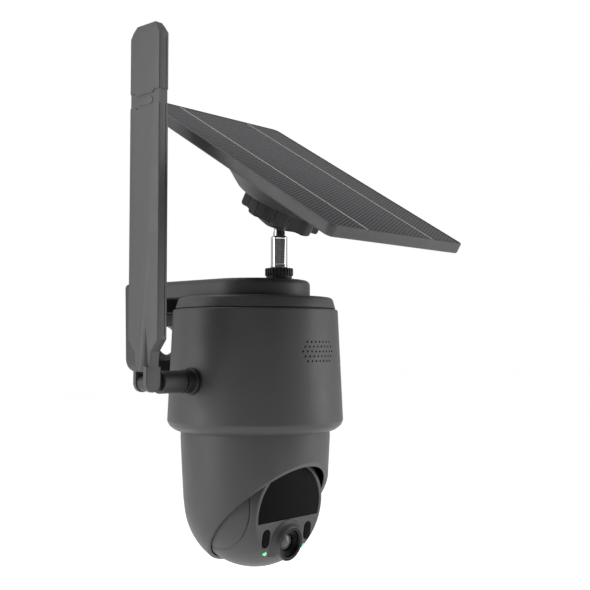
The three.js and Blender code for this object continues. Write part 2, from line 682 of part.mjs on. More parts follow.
function stalk() {
  const knurls = 26;
  const shaftRadius = 3.4;
  const boreRadius = shaftRadius + GAP;
  const rim = Array.from({ length: knurls * 2 }, (_, i) => {
    const angle = (i * Math.PI) / knurls;
    const radius = i % 2 ? 7.35 : 7.95;
    return [radius * Math.cos(angle), radius * Math.sin(angle)];
  });
  const nut = cut(
    join(prism(polygon(rim), 25.3, 29.6), disc(7.25, ARM_TOP + 0.2, 25.6, 24)),
    disc(boreRadius, 20, 32, 16),
  );
  const studBody = [
    [0, 15], [shaftRadius, 15], [shaftRadius, JOINT_Z - 8], [2.9, JOINT_Z - 6.8], [2.9, JOINT_Z - 4.4],
    ...arc(5.6, -52, 90, 6, JOINT_Z),
  ];
  const pieces = group(
    piece("stud_insert", "brass", tube(5.2, boreRadius, ARM_BOTTOM + 1.2, ARM_TOP - 0.1, 20)),
    piece("thumb_nut", "rubber", nut),
    piece("knurled_sleeve", "chrome", tube(4.8, boreRadius, 29.9, 47.8, 24)),
    piece("ball_stud", "chrome", turned(studBody, 16)),
  );
  pieces.position.y = STUD_Y;
  return pieces;
}

function clampNutShape() {
  const lobes = 8;
  const steps = 8;
  const points = [];
  for (let i = 0; i < lobes * steps; i += 1) {
    const angle = (i * 2 * Math.PI) / (lobes * steps);
    const swell = Math.max(0, Math.cos(lobes * angle)) ** 0.5;
    const radius = 20.4 + 2.9 * swell;
    points.push([radius * Math.cos(angle), radius * Math.sin(angle)]);
  }
  return polygon(points);
}

// Drawn round the ball joint's centre, with the panel square to Z, then turned to the panel's tilt.
function solarPanel() {
  const dish = [
    [0, 12.4], [27.2, 12.4], [42.4, 24], [45, 24], [44.6, 22.8], [29.6, 10.9], [28.4, 10.2],
    [13.4, 10.2], [13.4, -0.4], [13.9, -0.4], [12.4, -3.1], [6, -5.8], [0, -5.8],
  ];
  const notchAngle = THREE.MathUtils.degToRad(22.5);
  const notchReach = 30;
  const notchSpread = notchReach * Math.tan(THREE.MathUtils.degToRad(58));
  const notch = turned([[0, 0], [notchSpread, -notchReach], [0, -notchReach]], 24).rotateX(-notchAngle);
  const seatCavity = common(sphere(7.9, 14), block(-20, 20, -20, 20, 1, 20));
  const socket = cut(turned(dish, 28), sphere(6.2, 14), seatCavity, notch);
  const seat = common(cut(sphere(7.6, 14), sphere(6.1, 14)), block(-20, 20, -20, 20, 1.3, 20));
  const nut = cut(prism(clampNutShape(), -0.1, 9.9), disc(13.7, -5, 20, 24));

  const halfX = PANEL_WIDTH / 2;
  const halfY = PANEL_LENGTH / 2;
  const under = PANEL_TOP - PANEL_THICKNESS;
  const ledge = PANEL_TOP - 2.6;
  const corner = 4;
  const rim = 1.2;
  const inset = rim + GAP;
  const plate = (edge, bottom, top) => prism(
    roundedRectangle(halfX - edge, halfY - edge, corner - edge), bottom, top, { curveSegments: 3 },
  );
  const frame = cut(
    plate(0, under, PANEL_TOP),
    plate(rim, ledge, PANEL_TOP + 5),
    block(8 - halfX, halfX - 8, 8 - halfY, halfY - 8, under + 1.8, PANEL_TOP + 5),
  );
  const laminate = plate(inset, ledge + 0.1, PANEL_TOP - 0.3);
  const panel = group(
    piece("ball_seat", "acetal", seat),
    piece("socket_dish", "antennaPlastic", socket),
    piece("clamp_nut", "darkPlastic", nut),
    piece("panel_frame", "antennaPlastic", frame),
    piece("solar_laminate", "solar", laminate),
  );
  panel.position.set(0, STUD_Y, JOINT_Z);
  panel.rotation.x = PANEL_TILT;
  return panel;
}

// ---------------------------------------------------------------- assembly

const assembly = group(
  wallBracket(),
  ...housingPieces(),
  ...panDrive(),
  turntable(),
  yokeShell(),
  ...tiltPins(),
  tiltingBall(),
  antenna(),
  ...antennaFittings(),
  stalk(),
  solarPanel(),
);
assembly.position.set(0, -WALL_Y, -(ARM_BOTTOM + ARM_TOP) / 2);

export default group(assembly);
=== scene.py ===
# %% [markdown]
# # A solar-powered security camera
# The camera hangs under an arm. A wall box carries the arm, a paddle antenna stands at its side,
# and a solar panel sits above it on a ball joint.
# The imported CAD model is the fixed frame: every new piece is drawn in millimetres round one of
# the CAD's own joints, moved there once, and then rides on a CAD body.

# %% Load the frame
import json
import math

import bmesh
import bpy
from mathutils import Matrix, Vector


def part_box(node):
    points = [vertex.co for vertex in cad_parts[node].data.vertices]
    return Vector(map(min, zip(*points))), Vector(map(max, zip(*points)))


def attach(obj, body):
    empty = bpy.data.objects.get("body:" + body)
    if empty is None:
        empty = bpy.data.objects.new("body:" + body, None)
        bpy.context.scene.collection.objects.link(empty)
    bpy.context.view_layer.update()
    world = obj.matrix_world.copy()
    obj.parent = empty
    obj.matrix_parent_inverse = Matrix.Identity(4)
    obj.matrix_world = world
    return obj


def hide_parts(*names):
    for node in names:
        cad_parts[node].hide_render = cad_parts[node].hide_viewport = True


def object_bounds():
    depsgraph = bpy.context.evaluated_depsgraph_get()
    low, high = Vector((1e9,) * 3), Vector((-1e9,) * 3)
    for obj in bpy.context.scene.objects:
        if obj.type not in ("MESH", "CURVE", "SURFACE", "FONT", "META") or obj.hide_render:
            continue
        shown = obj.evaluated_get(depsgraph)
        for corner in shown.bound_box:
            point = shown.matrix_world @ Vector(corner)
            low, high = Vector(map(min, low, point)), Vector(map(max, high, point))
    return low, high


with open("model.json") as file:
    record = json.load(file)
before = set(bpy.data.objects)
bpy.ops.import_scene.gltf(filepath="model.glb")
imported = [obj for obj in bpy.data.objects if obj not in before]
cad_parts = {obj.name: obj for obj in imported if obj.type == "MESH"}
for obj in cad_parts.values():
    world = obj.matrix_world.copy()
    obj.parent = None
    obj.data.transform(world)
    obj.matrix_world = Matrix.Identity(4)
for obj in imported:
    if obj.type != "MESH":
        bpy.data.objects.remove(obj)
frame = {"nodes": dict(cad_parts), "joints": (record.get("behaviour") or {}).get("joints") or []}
cad_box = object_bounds()
MM = 0.001
joints = {joint["name"]: joint for joint in frame["joints"]}
print("CAD box in mm:", [[round(value / MM, 1) for value in corner] for corner in cad_box])

# %% [markdown]
# ## The camera
# The view stands to the left of the lens and a little below the middle, looking slightly up.
# A camera could be placed by hand, but a target, a distance and two angles say what was chosen.

# %% Camera
VIEW_TARGET = Vector((0.015, -0.097, -0.0033))
VIEW_DISTANCE = 0.5483
VIEW_AZIMUTH = math.radians(-48.37)
VIEW_ELEVATION = math.radians(-2.99)
VIEW_LENS = 57.98  # on a sensor 36 mm wide

back = Vector((
    math.sin(VIEW_AZIMUTH) * math.cos(VIEW_ELEVATION),
    -math.cos(VIEW_AZIMUTH) * math.cos(VIEW_ELEVATION),
    math.sin(VIEW_ELEVATION),
))
camera = bpy.data.objects.new("camera", bpy.data.cameras.new("camera"))
bpy.context.scene.collection.objects.link(camera)
bpy.context.scene.camera = camera
camera.location = VIEW_TARGET + back * VIEW_DISTANCE
camera.rotation_euler = (-back).to_track_quat("-Z", "Y").to_euler()
camera.data.sensor_width = 36
camera.data.lens = VIEW_LENS
camera.data.clip_start = 0.01
camera.data.clip_end = 50
print("camera at", [round(value, 3) for value in camera.location])

# %% [markdown]
# ## Nodes and colours
# A finish is a small graph of shader nodes. One function adds a node with its settings and links,
# so that each finish below reads like a list. Colours are written as sRGB hex values, as a paint
# chart gives them, and one function turns them to the linear values that shaders use.

# %% Node and colour helpers
def linear(colour):
    """An sRGB hex value as linear red, green and blue, and a full alpha."""
    channels = [(colour >> bits & 255) / 255 for bits in (16, 8, 0)]
    bent = [c / 12.92 if c <= 0.04045 else ((c + 0.055) / 1.055) ** 2.4 for c in channels]
    return (*bent, 1.0)


def add_node(tree, kind, inputs=None, **settings):
    """Adds a shader node. An input is a plain value, or another node's output to link to it."""
    node = tree.nodes.new("ShaderNode" + kind)
    for name, value in settings.items():
        setattr(node, name, value)
    for name, value in (inputs or {}).items():
        if isinstance(value, bpy.types.NodeSocket):
            tree.links.new(value, node.inputs[name])
        else:
            node.inputs[name].default_value = value
    return node


# The Mix node has a set of sockets for each kind of data; these are its colour sockets.
MIX_SHARE, MIX_FROM, MIX_TO, MIX_RESULT = 0, 6, 7, 2


def new_finish(name):
    """An empty material with its output node; returns the material, its tree and the output."""
    material = bpy.data.materials.new(name)
    material.use_nodes = True
    material.node_tree.nodes.clear()
    return material, material.node_tree, add_node(material.node_tree, "OutputMaterial")


def per_mm(size_mm):
    """The texture scale at which one cell of a pattern is so many millimetres wide."""
    return 1 / (size_mm * MM)


print("mid charcoal is", [round(value, 3) for value in linear(0x4B4B4C)[:3]], "in linear light")

# %% [markdown]
# ## Stage and light
# The object is shown against white. The floor is a plain pale sheet well below it.
# The room is bright at the sides and darker in front, where the camera stands. That alone gives
# round dark plastic its look: dim in the middle and light along both edges, and it draws the dark
# band down the chrome. Softboxes at the left, the right and overhead add direction.

# %% Stage and light
FLOOR_DROP = 0.16
FLOOR_GLOW = 0.5  # the floor is a light table, so that it stays as white as the background
SKY_SIDES, SKY_FRONT = 0.62, 0.12  # the room's brightness at the sides and in front

floor_finish, tree, output = new_finish("pale_paper")
grain = add_node(tree, "TexNoise", {"Scale": 40.0, "Detail": 2.0})
tone = add_node(tree, "Mix", {
    MIX_SHARE: grain.outputs["Fac"], MIX_FROM: linear(0xFAFAFA), MIX_TO: linear(0xFFFFFF)},
    data_type="RGBA")
paper = add_node(tree, "BsdfDiffuse", {"Color": tone.outputs[MIX_RESULT]})
lamp = add_node(tree, "Emission", {"Color": tone.outputs[MIX_RESULT], "Strength": FLOOR_GLOW})
lit_paper = add_node(tree, "AddShader", {0: paper.outputs[0], 1: lamp.outputs[0]})
tree.links.new(lit_paper.outputs[0], output.inputs["Surface"])

floor_mesh = bmesh.new()
bmesh.ops.create_grid(floor_mesh, x_segments=1, y_segments=1, size=12)
bmesh.ops.translate(floor_mesh, vec=(0, 0, cad_box[0].z - FLOOR_DROP), verts=floor_mesh.verts)
floor = bpy.data.objects.new("floor", bpy.data.meshes.new("floor"))
floor_mesh.to_mesh(floor.data)
floor_mesh.free()
floor.data.materials.append(floor_finish)
bpy.context.scene.collection.objects.link(floor)

world = bpy.data.worlds.new("studio")
bpy.context.scene.world = world
world.use_nodes = True
sky = world.node_tree
sky.nodes.clear()
seen = add_node(sky, "Background", {"Color": linear(0xFFFFFF), "Strength": 1.0})
heading = add_node(sky, "TexCoord")
towards_front = add_node(sky, "VectorMath", {
    0: heading.outputs["Generated"], 1: (back.x, back.y, 0)}, operation="DOT_PRODUCT")
brightness = add_node(sky, "MapRange", {
    "Value": towards_front.outputs["Value"], "From Min": 0.1, "From Max": 0.9,
    "To Min": SKY_SIDES, "To Max": SKY_FRONT}, interpolation_type="SMOOTHSTEP")
lit = add_node(sky, "Background", {"Color": linear(0xFFFFFF), "Strength": brightness.outputs[0]})
path = add_node(sky, "LightPath")
both = add_node(sky, "MixShader", {0: path.outputs["Is Camera Ray"], 1: lit.outputs[0], 2: seen.outputs[0]})
add_node(sky, "OutputWorld", {"Surface": both.outputs[0]})

SOFTBOXES = {  # azimuth, elevation, distance, width, height, watts
    "left_side": (-118, 12, 1.1, 0.6, 1.0, 6.0),
    "right_side": (48, 8, 1.1, 0.4, 1.0, 4.5),
    "overhead": (-150, 70, 1.1, 0.9, 0.6, 5.0),
}
middle = (cad_box[0] + cad_box[1]) / 2
for name, (azimuth, elevation, distance, width, height, watts) in SOFTBOXES.items():
    a, e = math.radians(azimuth), math.radians(elevation)
    outward = Vector((math.sin(a) * math.cos(e), -math.cos(a) * math.cos(e), math.sin(e)))
    softbox = bpy.data.lights.new(name, "AREA")
    softbox.shape = "RECTANGLE"
    softbox.size = width
    softbox.size_y = height
    softbox.energy = watts
    holder = bpy.data.objects.new(name, softbox)
    holder.location = middle + outward * distance
    holder.rotation_euler = outward.to_track_quat("Z", "Y").to_euler()
    holder.visible_camera = False
    bpy.context.scene.collection.objects.link(holder)
bpy.context.scene.view_settings.view_transform = "Standard"
print(len(SOFTBOXES), "softboxes")

# %% [markdown]
# ## Moulded plastic
# Nearly everything outside is injection-moulded ABS. The mould was spark-eroded, which leaves a
# fine even grain that scatters the light: the surface is matt, with soft highlights on its edges.
# Three layers give that: a broad, faint mottling of the colour, a roughness that wanders a little,
# and a bump of the grain. The real grain is about 0.15 mm, too fine to show, so it is drawn at
# several times that.

# %% Plastic finishes
def moulded_plastic(name, colour, roughness, grain_mm, grain_depth_mm, mottle=0.12, ior=1.54, gloss=0.5):
    """A moulded plastic in Object coordinates: mottled colour, wandering roughness, grain bump."""
    material, tree, output = new_finish(name)
    place = add_node(tree, "TexCoord").outputs["Object"]
    cloud = add_node(tree, "TexNoise", {"Vector": place, "Scale": per_mm(14), "Detail": 3.0})
    speck = add_node(tree, "TexNoise", {"Vector": place, "Scale": per_mm(grain_mm), "Detail": 2.0})
    dark = [value * (1 - mottle) for value in linear(colour)[:3]] + [1]
    light = [value * (1 + mottle) for value in linear(colour)[:3]] + [1]
    blend = add_node(tree, "Math", {
        0: cloud.outputs["Fac"], 1: speck.outputs["Fac"]}, operation="ADD")
    share = add_node(tree, "Math", {0: blend.outputs[0], 1: 0.5}, operation="MULTIPLY")
    tone = add_node(tree, "Mix", {
        MIX_SHARE: share.outputs[0], MIX_FROM: dark, MIX_TO: light}, data_type="RGBA")
    rough = add_node(tree, "MapRange", {
        "Value": cloud.outputs["Fac"], "From Min": 0.3, "From Max": 0.7,
        "To Min": roughness - 0.04, "To Max": roughness + 0.04})
    bump = add_node(tree, "Bump", {
        "Height": speck.outputs["Fac"], "Strength": 1.0, "Distance": grain_depth_mm * MM})
    shader = add_node(tree, "BsdfPrincipled", {
        "Base Color": tone.outputs[MIX_RESULT], "Roughness": rough.outputs["Result"],
        "IOR": ior, "Specular IOR Level": gloss, "Normal": bump.outputs["Normal"]})
    tree.links.new(shader.outputs[0], output.inputs["Surface"])
    return material


charcoal_abs = moulded_plastic("charcoal_abs_spark_textured", 0x2F2F30, 0.5, 0.7, 0.03)
arm_abs = moulded_plastic("dark_abs_spark_textured", 0x222223, 0.5, 0.7, 0.03)
antenna_abs = moulded_plastic("grey_abs_satin_moulded", 0x3C3C3D, 0.5, 0.9, 0.03)
tray_abs = moulded_plastic("dark_grey_abs_satin_moulded", 0x29292A, 0.5, 0.9, 0.03)
black_abs = moulded_plastic("black_abs_fine_moulded", 0x0C0C0D, 0.5, 0.6, 0.02, gloss=0.3)
filter_polycarbonate = moulded_plastic(
    "infrared_black_polycarbonate", 0x040405, 0.42, 3.0, 0.002, mottle=0.1, ior=1.58, gloss=0.03)
lens_black = moulded_plastic(
    "lens_barrel_black_nylon", 0x070708, 0.4, 0.5, 0.01, mottle=0.1, ior=1.53, gloss=0.25)
soft_rubber = moulded_plastic(
    "black_rubber_compression_moulded", 0x151516, 0.78, 0.5, 0.02, mottle=0.15, ior=1.52)
print("plastics:", charcoal_abs.name, arm_abs.name, antenna_abs.name)

# %% [markdown]
# ## Metals and inside materials
# The panel's stalk is bright chrome plate on turned steel: almost a mirror, with faint lathe rings
# under the plating. The rest is inside: brass and plated steel that were turned, green solder
# resist on the circuit boards, natural acetal for the gears, and shrunk film round the cells.

# %% Metal finishes
def turned_metal(name, colour, roughness, ring_mm, ring_depth_mm, axis):
    """A turned metal: faint lathe rings along an axis, and a roughness that varies a little."""
    material, tree, output = new_finish(name)
    place = add_node(tree, "TexCoord").outputs["Object"]
    rings = add_node(tree, "TexWave", {
        "Vector": place, "Scale": per_mm(ring_mm) / 20, "Distortion": 0.6, "Detail": 1.0},
        bands_direction=axis)
    smear = add_node(tree, "TexNoise", {"Vector": place, "Scale": per_mm(4), "Detail": 3.0})
    rough = add_node(tree, "MapRange", {
        "Value": smear.outputs["Fac"], "From Min": 0.3, "From Max": 0.7,
        "To Min": roughness * 0.8, "To Max": roughness * 1.25})
    bump = add_node(tree, "Bump", {
        "Height": rings.outputs["Fac"], "Strength": 1.0, "Distance": ring_depth_mm * MM})
    shader = add_node(tree, "BsdfPrincipled", {
        "Base Color": linear(colour), "Metallic": 1.0, "Roughness": rough.outputs["Result"],
        "Normal": bump.outputs["Normal"]})
    tree.links.new(shader.outputs[0], output.inputs["Surface"])
    return material


bright_chrome = turned_metal("chrome_plate_bright", 0xC8C8CA, 0.11, 0.8, 0.002, "Z")
turned_brass = turned_metal("brass_turned", 0xC9A35A, 0.3, 0.5, 0.004, "Z")
plated_steel = turned_metal("zinc_plated_steel", 0xA6A8AB, 0.34, 0.6, 0.004, "Z")
print("metals:", bright_chrome.name, turned_brass.name, plated_steel.name)


# %% Inside finishes
def inside_plastic(name, colour, roughness, patch_mm, contrast, depth_mm):
    """A plain inside material whose colour and height follow one noise of a real patch size."""
    material, tree, output = new_finish(name)
    place = add_node(tree, "TexCoord").outputs["Object"]
    patch = add_node(tree, "TexNoise", {"Vector": place, "Scale": per_mm(patch_mm), "Detail": 4.0})
    low = [value * (1 - contrast) for value in linear(colour)[:3]] + [1]
    tone = add_node(tree, "Mix", {
        MIX_SHARE: patch.outputs["Fac"], MIX_FROM: low, MIX_TO: linear(colour)}, data_type="RGBA")
    bump = add_node(tree, "Bump", {
        "Height": patch.outputs["Fac"], "Strength": 1.0, "Distance": depth_mm * MM})
    shader = add_node(tree, "BsdfPrincipled", {
        "Base Color": tone.outputs[MIX_RESULT], "Roughness": roughness,
        "Normal": bump.outputs["Normal"]})
    tree.links.new(shader.outputs[0], output.inputs["Surface"])
    return material


solder_resist = inside_plastic("glass_epoxy_board_solder_resist", 0x1F5C3A, 0.4, 1.2, 0.35, 0.02)
natural_acetal = inside_plastic("natural_acetal_moulded", 0xE8E6DF, 0.45, 6.0, 0.06, 0.02)
shrink_film = inside_plastic("pvc_film_shrunk", 0x3F7FB0, 0.35, 9.0, 0.12, 0.05)
print("inside:", solder_resist.name, natural_acetal.name, shrink_film.name)

# %% [markdown]
# ## Solar film
# The panel is dark silicon under a clear embossed film. The eye sees fine slanting stripes, dark
# and pale by turns, crossed by two cream busbars that run along the panel's length.
# The pattern is drawn in the panel's own coordinates: a Mapping node moves Object coordinates to
# the ball joint and takes out the panel's tilt, so that X runs across and Y along the panel.

# %% Solar film finish
def panel_place():
    """The ball joint's centre in metres, and the panel's tilt from its own spin axis."""
    axis = Vector(joints["panel_spin"]["axis"])
    return Vector(joints["panel_tilt"]["pos_m"]), math.atan2(-axis.y, axis.z)


PANEL_CENTRE, PANEL_TILT = panel_place()
STRIPE_PITCH = 1.7  # mm from one dark stripe to the next
STRIPE_SLANT = math.radians(30)
BUSBAR_OFFSET = 28.0  # mm from the panel's middle line
BUSBAR_WIDTH = 0.9

solar_film, tree, output = new_finish("embossed_film_over_silicon")
place = add_node(tree, "TexCoord").outputs["Object"]
flat = add_node(tree, "Mapping", {
    "Vector": place, "Location": PANEL_CENTRE, "Rotation": (PANEL_TILT, 0, 0)}, vector_type="TEXTURE")
across_stripes = add_node(tree, "VectorMath", {
    0: flat.outputs[0], 1: (-math.sin(STRIPE_SLANT), math.cos(STRIPE_SLANT), 0)}, operation="DOT_PRODUCT")
wobble = add_node(tree, "TexNoise", {"Vector": flat.outputs[0], "Scale": per_mm(3), "Detail": 1.0})
waver = add_node(tree, "MapRange", {
    "Value": wobble.outputs["Fac"], "To Min": -0.15 * MM, "To Max": 0.15 * MM})
wavering = add_node(tree, "Math", {
    0: across_stripes.outputs["Value"], 1: waver.outputs[0]}, operation="ADD")
phase = add_node(tree, "Math", {0: wavering.outputs[0], 1: STRIPE_PITCH * MM / 2}, operation="PINGPONG")
stripe = add_node(tree, "MapRange", {
    "Value": phase.outputs[0], "From Min": 0.35 * MM, "From Max": 0.6 * MM},
    interpolation_type="SMOOTHSTEP")
sides = add_node(tree, "SeparateXYZ", {0: flat.outputs[0]})
from_middle = add_node(tree, "Math", {0: sides.outputs["X"]}, operation="ABSOLUTE")
busbar = add_node(tree, "Math", {
    0: from_middle.outputs[0], 1: BUSBAR_OFFSET * MM, 2: BUSBAR_WIDTH * MM / 2}, operation="COMPARE")
dimple = add_node(tree, "TexNoise", {"Vector": flat.outputs[0], "Scale": per_mm(0.8), "Detail": 2.0})
silicon = add_node(tree, "Mix", {
    MIX_SHARE: stripe.outputs[0], MIX_FROM: linear(0x0C0C0F), MIX_TO: linear(0x504F59)}, data_type="RGBA")
speckle = add_node(tree, "Mix", {
    MIX_SHARE: dimple.outputs["Fac"], MIX_FROM: linear(0x6A6A6A), MIX_TO: linear(0xFFFFFF)},
    data_type="RGBA")
mottled = add_node(tree, "Mix", {
    MIX_SHARE: 1.0, MIX_FROM: silicon.outputs[MIX_RESULT], MIX_TO: speckle.outputs[MIX_RESULT]},
    data_type="RGBA", blend_type="MULTIPLY")
colour = add_node(tree, "Mix", {
    MIX_SHARE: busbar.outputs[0], MIX_FROM: mottled.outputs[MIX_RESULT], MIX_TO: linear(0xC4BEA8)},
    data_type="RGBA")
relief = add_node(tree, "Math", {0: stripe.outputs[0], 1: dimple.outputs["Fac"]}, operation="ADD")
bump = add_node(tree, "Bump", {"Height": relief.outputs[0], "Strength": 1.0, "Distance": 0.06 * MM})
shader = add_node(tree, "BsdfPrincipled", {
    "Base Color": colour.outputs[MIX_RESULT], "Roughness": 0.45, "IOR": 1.42,
    "Specular IOR Level": 0.2, "Normal": bump.outputs["Normal"]})
tree.links.new(shader.outputs[0], output.inputs["Surface"])
print("stripes every", STRIPE_PITCH, "mm on a panel tilted", round(math.degrees(PANEL_TILT), 1), "degrees")

# %% [markdown]
# ## Lens glass and pilot lights
# The lens front is coated glass over a black tube, dark and glossy; its grey sheen is a painted sheen, a
# grey base colour that varies with a faint noise.
# The two pilot lights are clear domes that glow: a principled shader with emission does that, and
# a faint noise keeps the glow from being perfectly even.

# %% Glass and lights
lens_glass_finish, tree, output = new_finish("coated_lens_glass")
place = add_node(tree, "TexCoord").outputs["Object"]
sheen = add_node(tree, "TexNoise", {"Vector": place, "Scale": per_mm(3), "Detail": 1.0})
# painted sheen: a grey base colour that varies with the noise stands in for the coating's reflection
painted_sheen_tone = add_node(tree, "Mix", {
    MIX_SHARE: sheen.outputs["Fac"], MIX_FROM: linear(0x303236), MIX_TO: linear(0x4A4B50)},
    data_type="RGBA")
shader = add_node(tree, "BsdfPrincipled", {
    "Base Color": painted_sheen_tone.outputs[MIX_RESULT], "Roughness": 0.35, "IOR": 1.5,
    "Coat Weight": 0.3, "Coat Roughness": 0.2})
tree.links.new(shader.outputs[0], output.inputs["Surface"])


def pilot_light(name, colour, glow):
    """A lit, clear light guide."""
    material, tree, output = new_finish(name)
    place = add_node(tree, "TexCoord").outputs["Object"]
    haze = add_node(tree, "TexNoise", {"Vector": place, "Scale": per_mm(0.8), "Detail": 1.0})
    tone = add_node(tree, "Mix", {
        MIX_SHARE: haze.outputs["Fac"], MIX_FROM: linear(colour), MIX_TO: linear(0xFFFFFF)},
        data_type="RGBA")
    dim = add_node(tree, "Mix", {
        MIX_SHARE: 0.25, MIX_FROM: linear(colour), MIX_TO: tone.outputs[MIX_RESULT]}, data_type="RGBA")
    shader = add_node(tree, "BsdfPrincipled", {
        "Base Color": dim.outputs[MIX_RESULT], "Roughness": 0.25, "IOR": 1.49,
        "Emission Color": dim.outputs[MIX_RESULT], "Emission Strength": glow})
    tree.links.new(shader.outputs[0], output.inputs["Surface"])
    return material


green_glow = pilot_light("green_light_guide_lit", 0x46E070, 0.8)
cyan_glow = pilot_light("cyan_light_guide_lit", 0x40D8F0, 0.8)
print("lights:", green_glow.name, cyan_glow.name)

# %% [markdown]
# ## Shape helpers
# Three kinds of blank make almost every piece: a profile turned on a lathe, a flat outline raised
# to a slab, and the cut of one blank by another. Corners of a profile or outline take a radius of
# their own, as on a workshop drawing.

# %% Profiles and outlines
def rounded(corners, closed=False, steps=5):
    """Corners as (a, b) or (a, b, radius), in order; each radius becomes an arc."""
    points = []
    for i, corner in enumerate(corners):
        here = Vector(corner[:2])
        at_end = not closed and i in (0, len(corners) - 1)
        if len(corner) < 3 or at_end:
            points.append(here)
            continue
        radius = corner[2]
        before = (Vector(corners[i - 1][:2]) - here).normalized()
        after = (Vector(corners[(i + 1) % len(corners)][:2]) - here).normalized()
        half = before.angle(after) / 2
        centre = here + (before + after).normalized() * (radius / math.sin(half))
        reach = radius / math.tan(half)
        start, stop = here + before * reach - centre, here + after * reach - centre
        points += [centre + start.slerp(stop, step / steps) * radius for step in range(steps + 1)]
    return points


def arc(radius, start, stop, steps, centre_height=0.0):
    """Points of a circle in a turned profile; angles in degrees above the horizontal."""
    angles = [math.radians(start + (stop - start) * i / steps) for i in range(steps + 1)]
    return [(radius * math.cos(a), centre_height + radius * math.sin(a)) for a in angles]


def rounded_rectangle(half_x, half_y, radius, steps=5):
    corners = [(half_x, half_y), (-half_x, half_y), (-half_x, -half_y), (half_x, -half_y)]
    return rounded([(x, y, radius) for x, y in corners], closed=True, steps=steps)


print("a rounded corner has", len(rounded([(0, 0), (5, 0, 1), (5, 5)])) - 2, "points")


# %% Lathe, slab and placing
TURN_STEPS = 96
FACING = Matrix.Rotation(math.radians(90), 4, "X")  # a shape's height then points along -Y
ALONG_X = Matrix(((0, 0, 1, 0), (1, 0, 0, 0), (0, 1, 0, 0), (0, 0, 0, 1)))


def turned(profile, steps=TURN_STEPS):
    """A lathe: a profile of (radius, height) points spun about Z. One off the axis is closed."""
    bm = bmesh.new()
    points = [bm.verts.new((radius, 0, height)) for radius, height in profile]
    edges = [bm.edges.new(pair) for pair in zip(points, points[1:])]
    if max(profile[0][0], profile[-1][0]) > 1e-6:
        edges.append(bm.edges.new((points[-1], points[0])))
    bmesh.ops.spin(
        bm, geom=points + edges, cent=(0, 0, 0), axis=(0, 0, 1), angle=2 * math.pi,
        steps=steps, use_merge=True)
    bmesh.ops.remove_doubles(bm, verts=bm.verts, dist=1e-4)
    bmesh.ops.recalc_face_normals(bm, faces=bm.faces)
    return bm


def soften(bm, edges, radius, segments=4):
    bmesh.ops.bevel(
        bm, geom=edges, offset=radius, affect="EDGES", segments=segments, profile=0.5, material=-1,
        clamp_overlap=True)


def slab(outline, bottom, top, bottom_edge=0.0, top_edge=0.0):
    """An outline raised along Z, with rounded rims at its bottom and top."""
    bm = bmesh.new()
    face = bm.faces.new([bm.verts.new((x, y, bottom)) for x, y in outline])
    raised = bmesh.ops.extrude_face_region(bm, geom=[face])["geom"]
    lifted = [part for part in raised if isinstance(part, bmesh.types.BMVert)]
    bmesh.ops.translate(bm, vec=(0, 0, top - bottom), verts=lifted)
    bmesh.ops.recalc_face_normals(bm, faces=bm.faces)
    for height, radius in ((bottom, bottom_edge), (top, top_edge)):
        if radius:
            rim = [e for e in bm.edges if all(abs(v.co.z - height) < 1e-4 for v in e.verts)]
            soften(bm, rim, radius)
    return bm


def moved(bm, *matrices):
    """The blank after each matrix in turn."""
    for matrix in matrices:
        bmesh.ops.transform(bm, matrix=matrix, verts=bm.verts)
    return bm


def shift(x=0.0, y=0.0, z=0.0):
    return Matrix.Translation((x, y, z))


def pin(radius, bottom, top, steps=24):
    return turned([(0, bottom), (radius, bottom), (radius, top), (0, top)], steps)


def box(x0, x1, y0, y1, z0, z1):
    bm = bmesh.new()
    bmesh.ops.create_cube(bm, size=1)
    sizes = Matrix.Diagonal((x1 - x0, y1 - y0, z1 - z0, 1))
    return moved(bm, sizes, shift((x0 + x1) / 2, (y0 + y1) / 2, (z0 + z1) / 2))


print("a 10 mm pin has", len(pin(5, 0, 10).faces), "faces")


# %% Cutting and joining
def loose_object(bm):
    mesh = bpy.data.meshes.new("blank")
    bm.to_mesh(mesh)
    bm.free()
    blank = bpy.data.objects.new("blank", mesh)
    bpy.context.scene.collection.objects.link(blank)
    return blank


def together(*blanks):
    """Several separate blanks as one, for cutting in one pass."""
    first = blanks[0]
    for other in blanks[1:]:
        carrier = bpy.data.meshes.new("carrier")
        other.to_mesh(carrier)
        other.free()
        first.from_mesh(carrier)
        bpy.data.meshes.remove(carrier)
    return first


def combined(first, second, operation):
    """A Boolean modifier applied once. Both blanks are used up."""
    body, tool = loose_object(first), loose_object(second)
    step = body.modifiers.new("step", "BOOLEAN")
    step.operation = operation
    step.solver = "EXACT"
    step.object = tool
    shaped = bpy.data.meshes.new_from_object(body.evaluated_get(bpy.context.evaluated_depsgraph_get()))
    result = bmesh.new()
    result.from_mesh(shaped)
    for mesh in (body.data, tool.data, shaped):
        bpy.data.meshes.remove(mesh)
    return result


def cut(blank, *tools):
    for tool in tools:
        blank = combined(blank, tool, "DIFFERENCE")
    return blank


def joined(blank, *others):
    for other in others:
        blank = combined(blank, other, "UNION")
    return blank


def common(blank, tool):
    return combined(blank, tool, "INTERSECT")


test = cut(box(-5, 5, -5, 5, 0, 2), pin(2, -1, 3))
print("a plate with a hole has", len(test.faces), "faces")
test.free()


# %% Handing over a finished piece
def finish_piece(name, bm, place, material, body, replaced, crease=32):
    """Moves a blank from its millimetre drawing to the row frame, gives it its finish, hangs it on a body
    and hides the CAD parts it replaces.
    """
    bmesh.ops.transform(bm, matrix=place, verts=bm.verts)
    open_edges = sum(not edge.is_manifold for edge in bm.edges)
    mesh = bpy.data.meshes.new(name)
    bm.to_mesh(mesh)
    bm.free()
    mesh.materials.clear()
    mesh.materials.append(material)
    mesh.shade_smooth()
    mesh.set_sharp_from_angle(angle=math.radians(crease))
    piece = bpy.data.objects.new(name, mesh)
    bpy.context.scene.collection.objects.link(piece)
    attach(piece, body)
    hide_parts(*replaced)
    print(f"{name}: {len(mesh.polygons)} faces, {open_edges} open edges")
    return piece


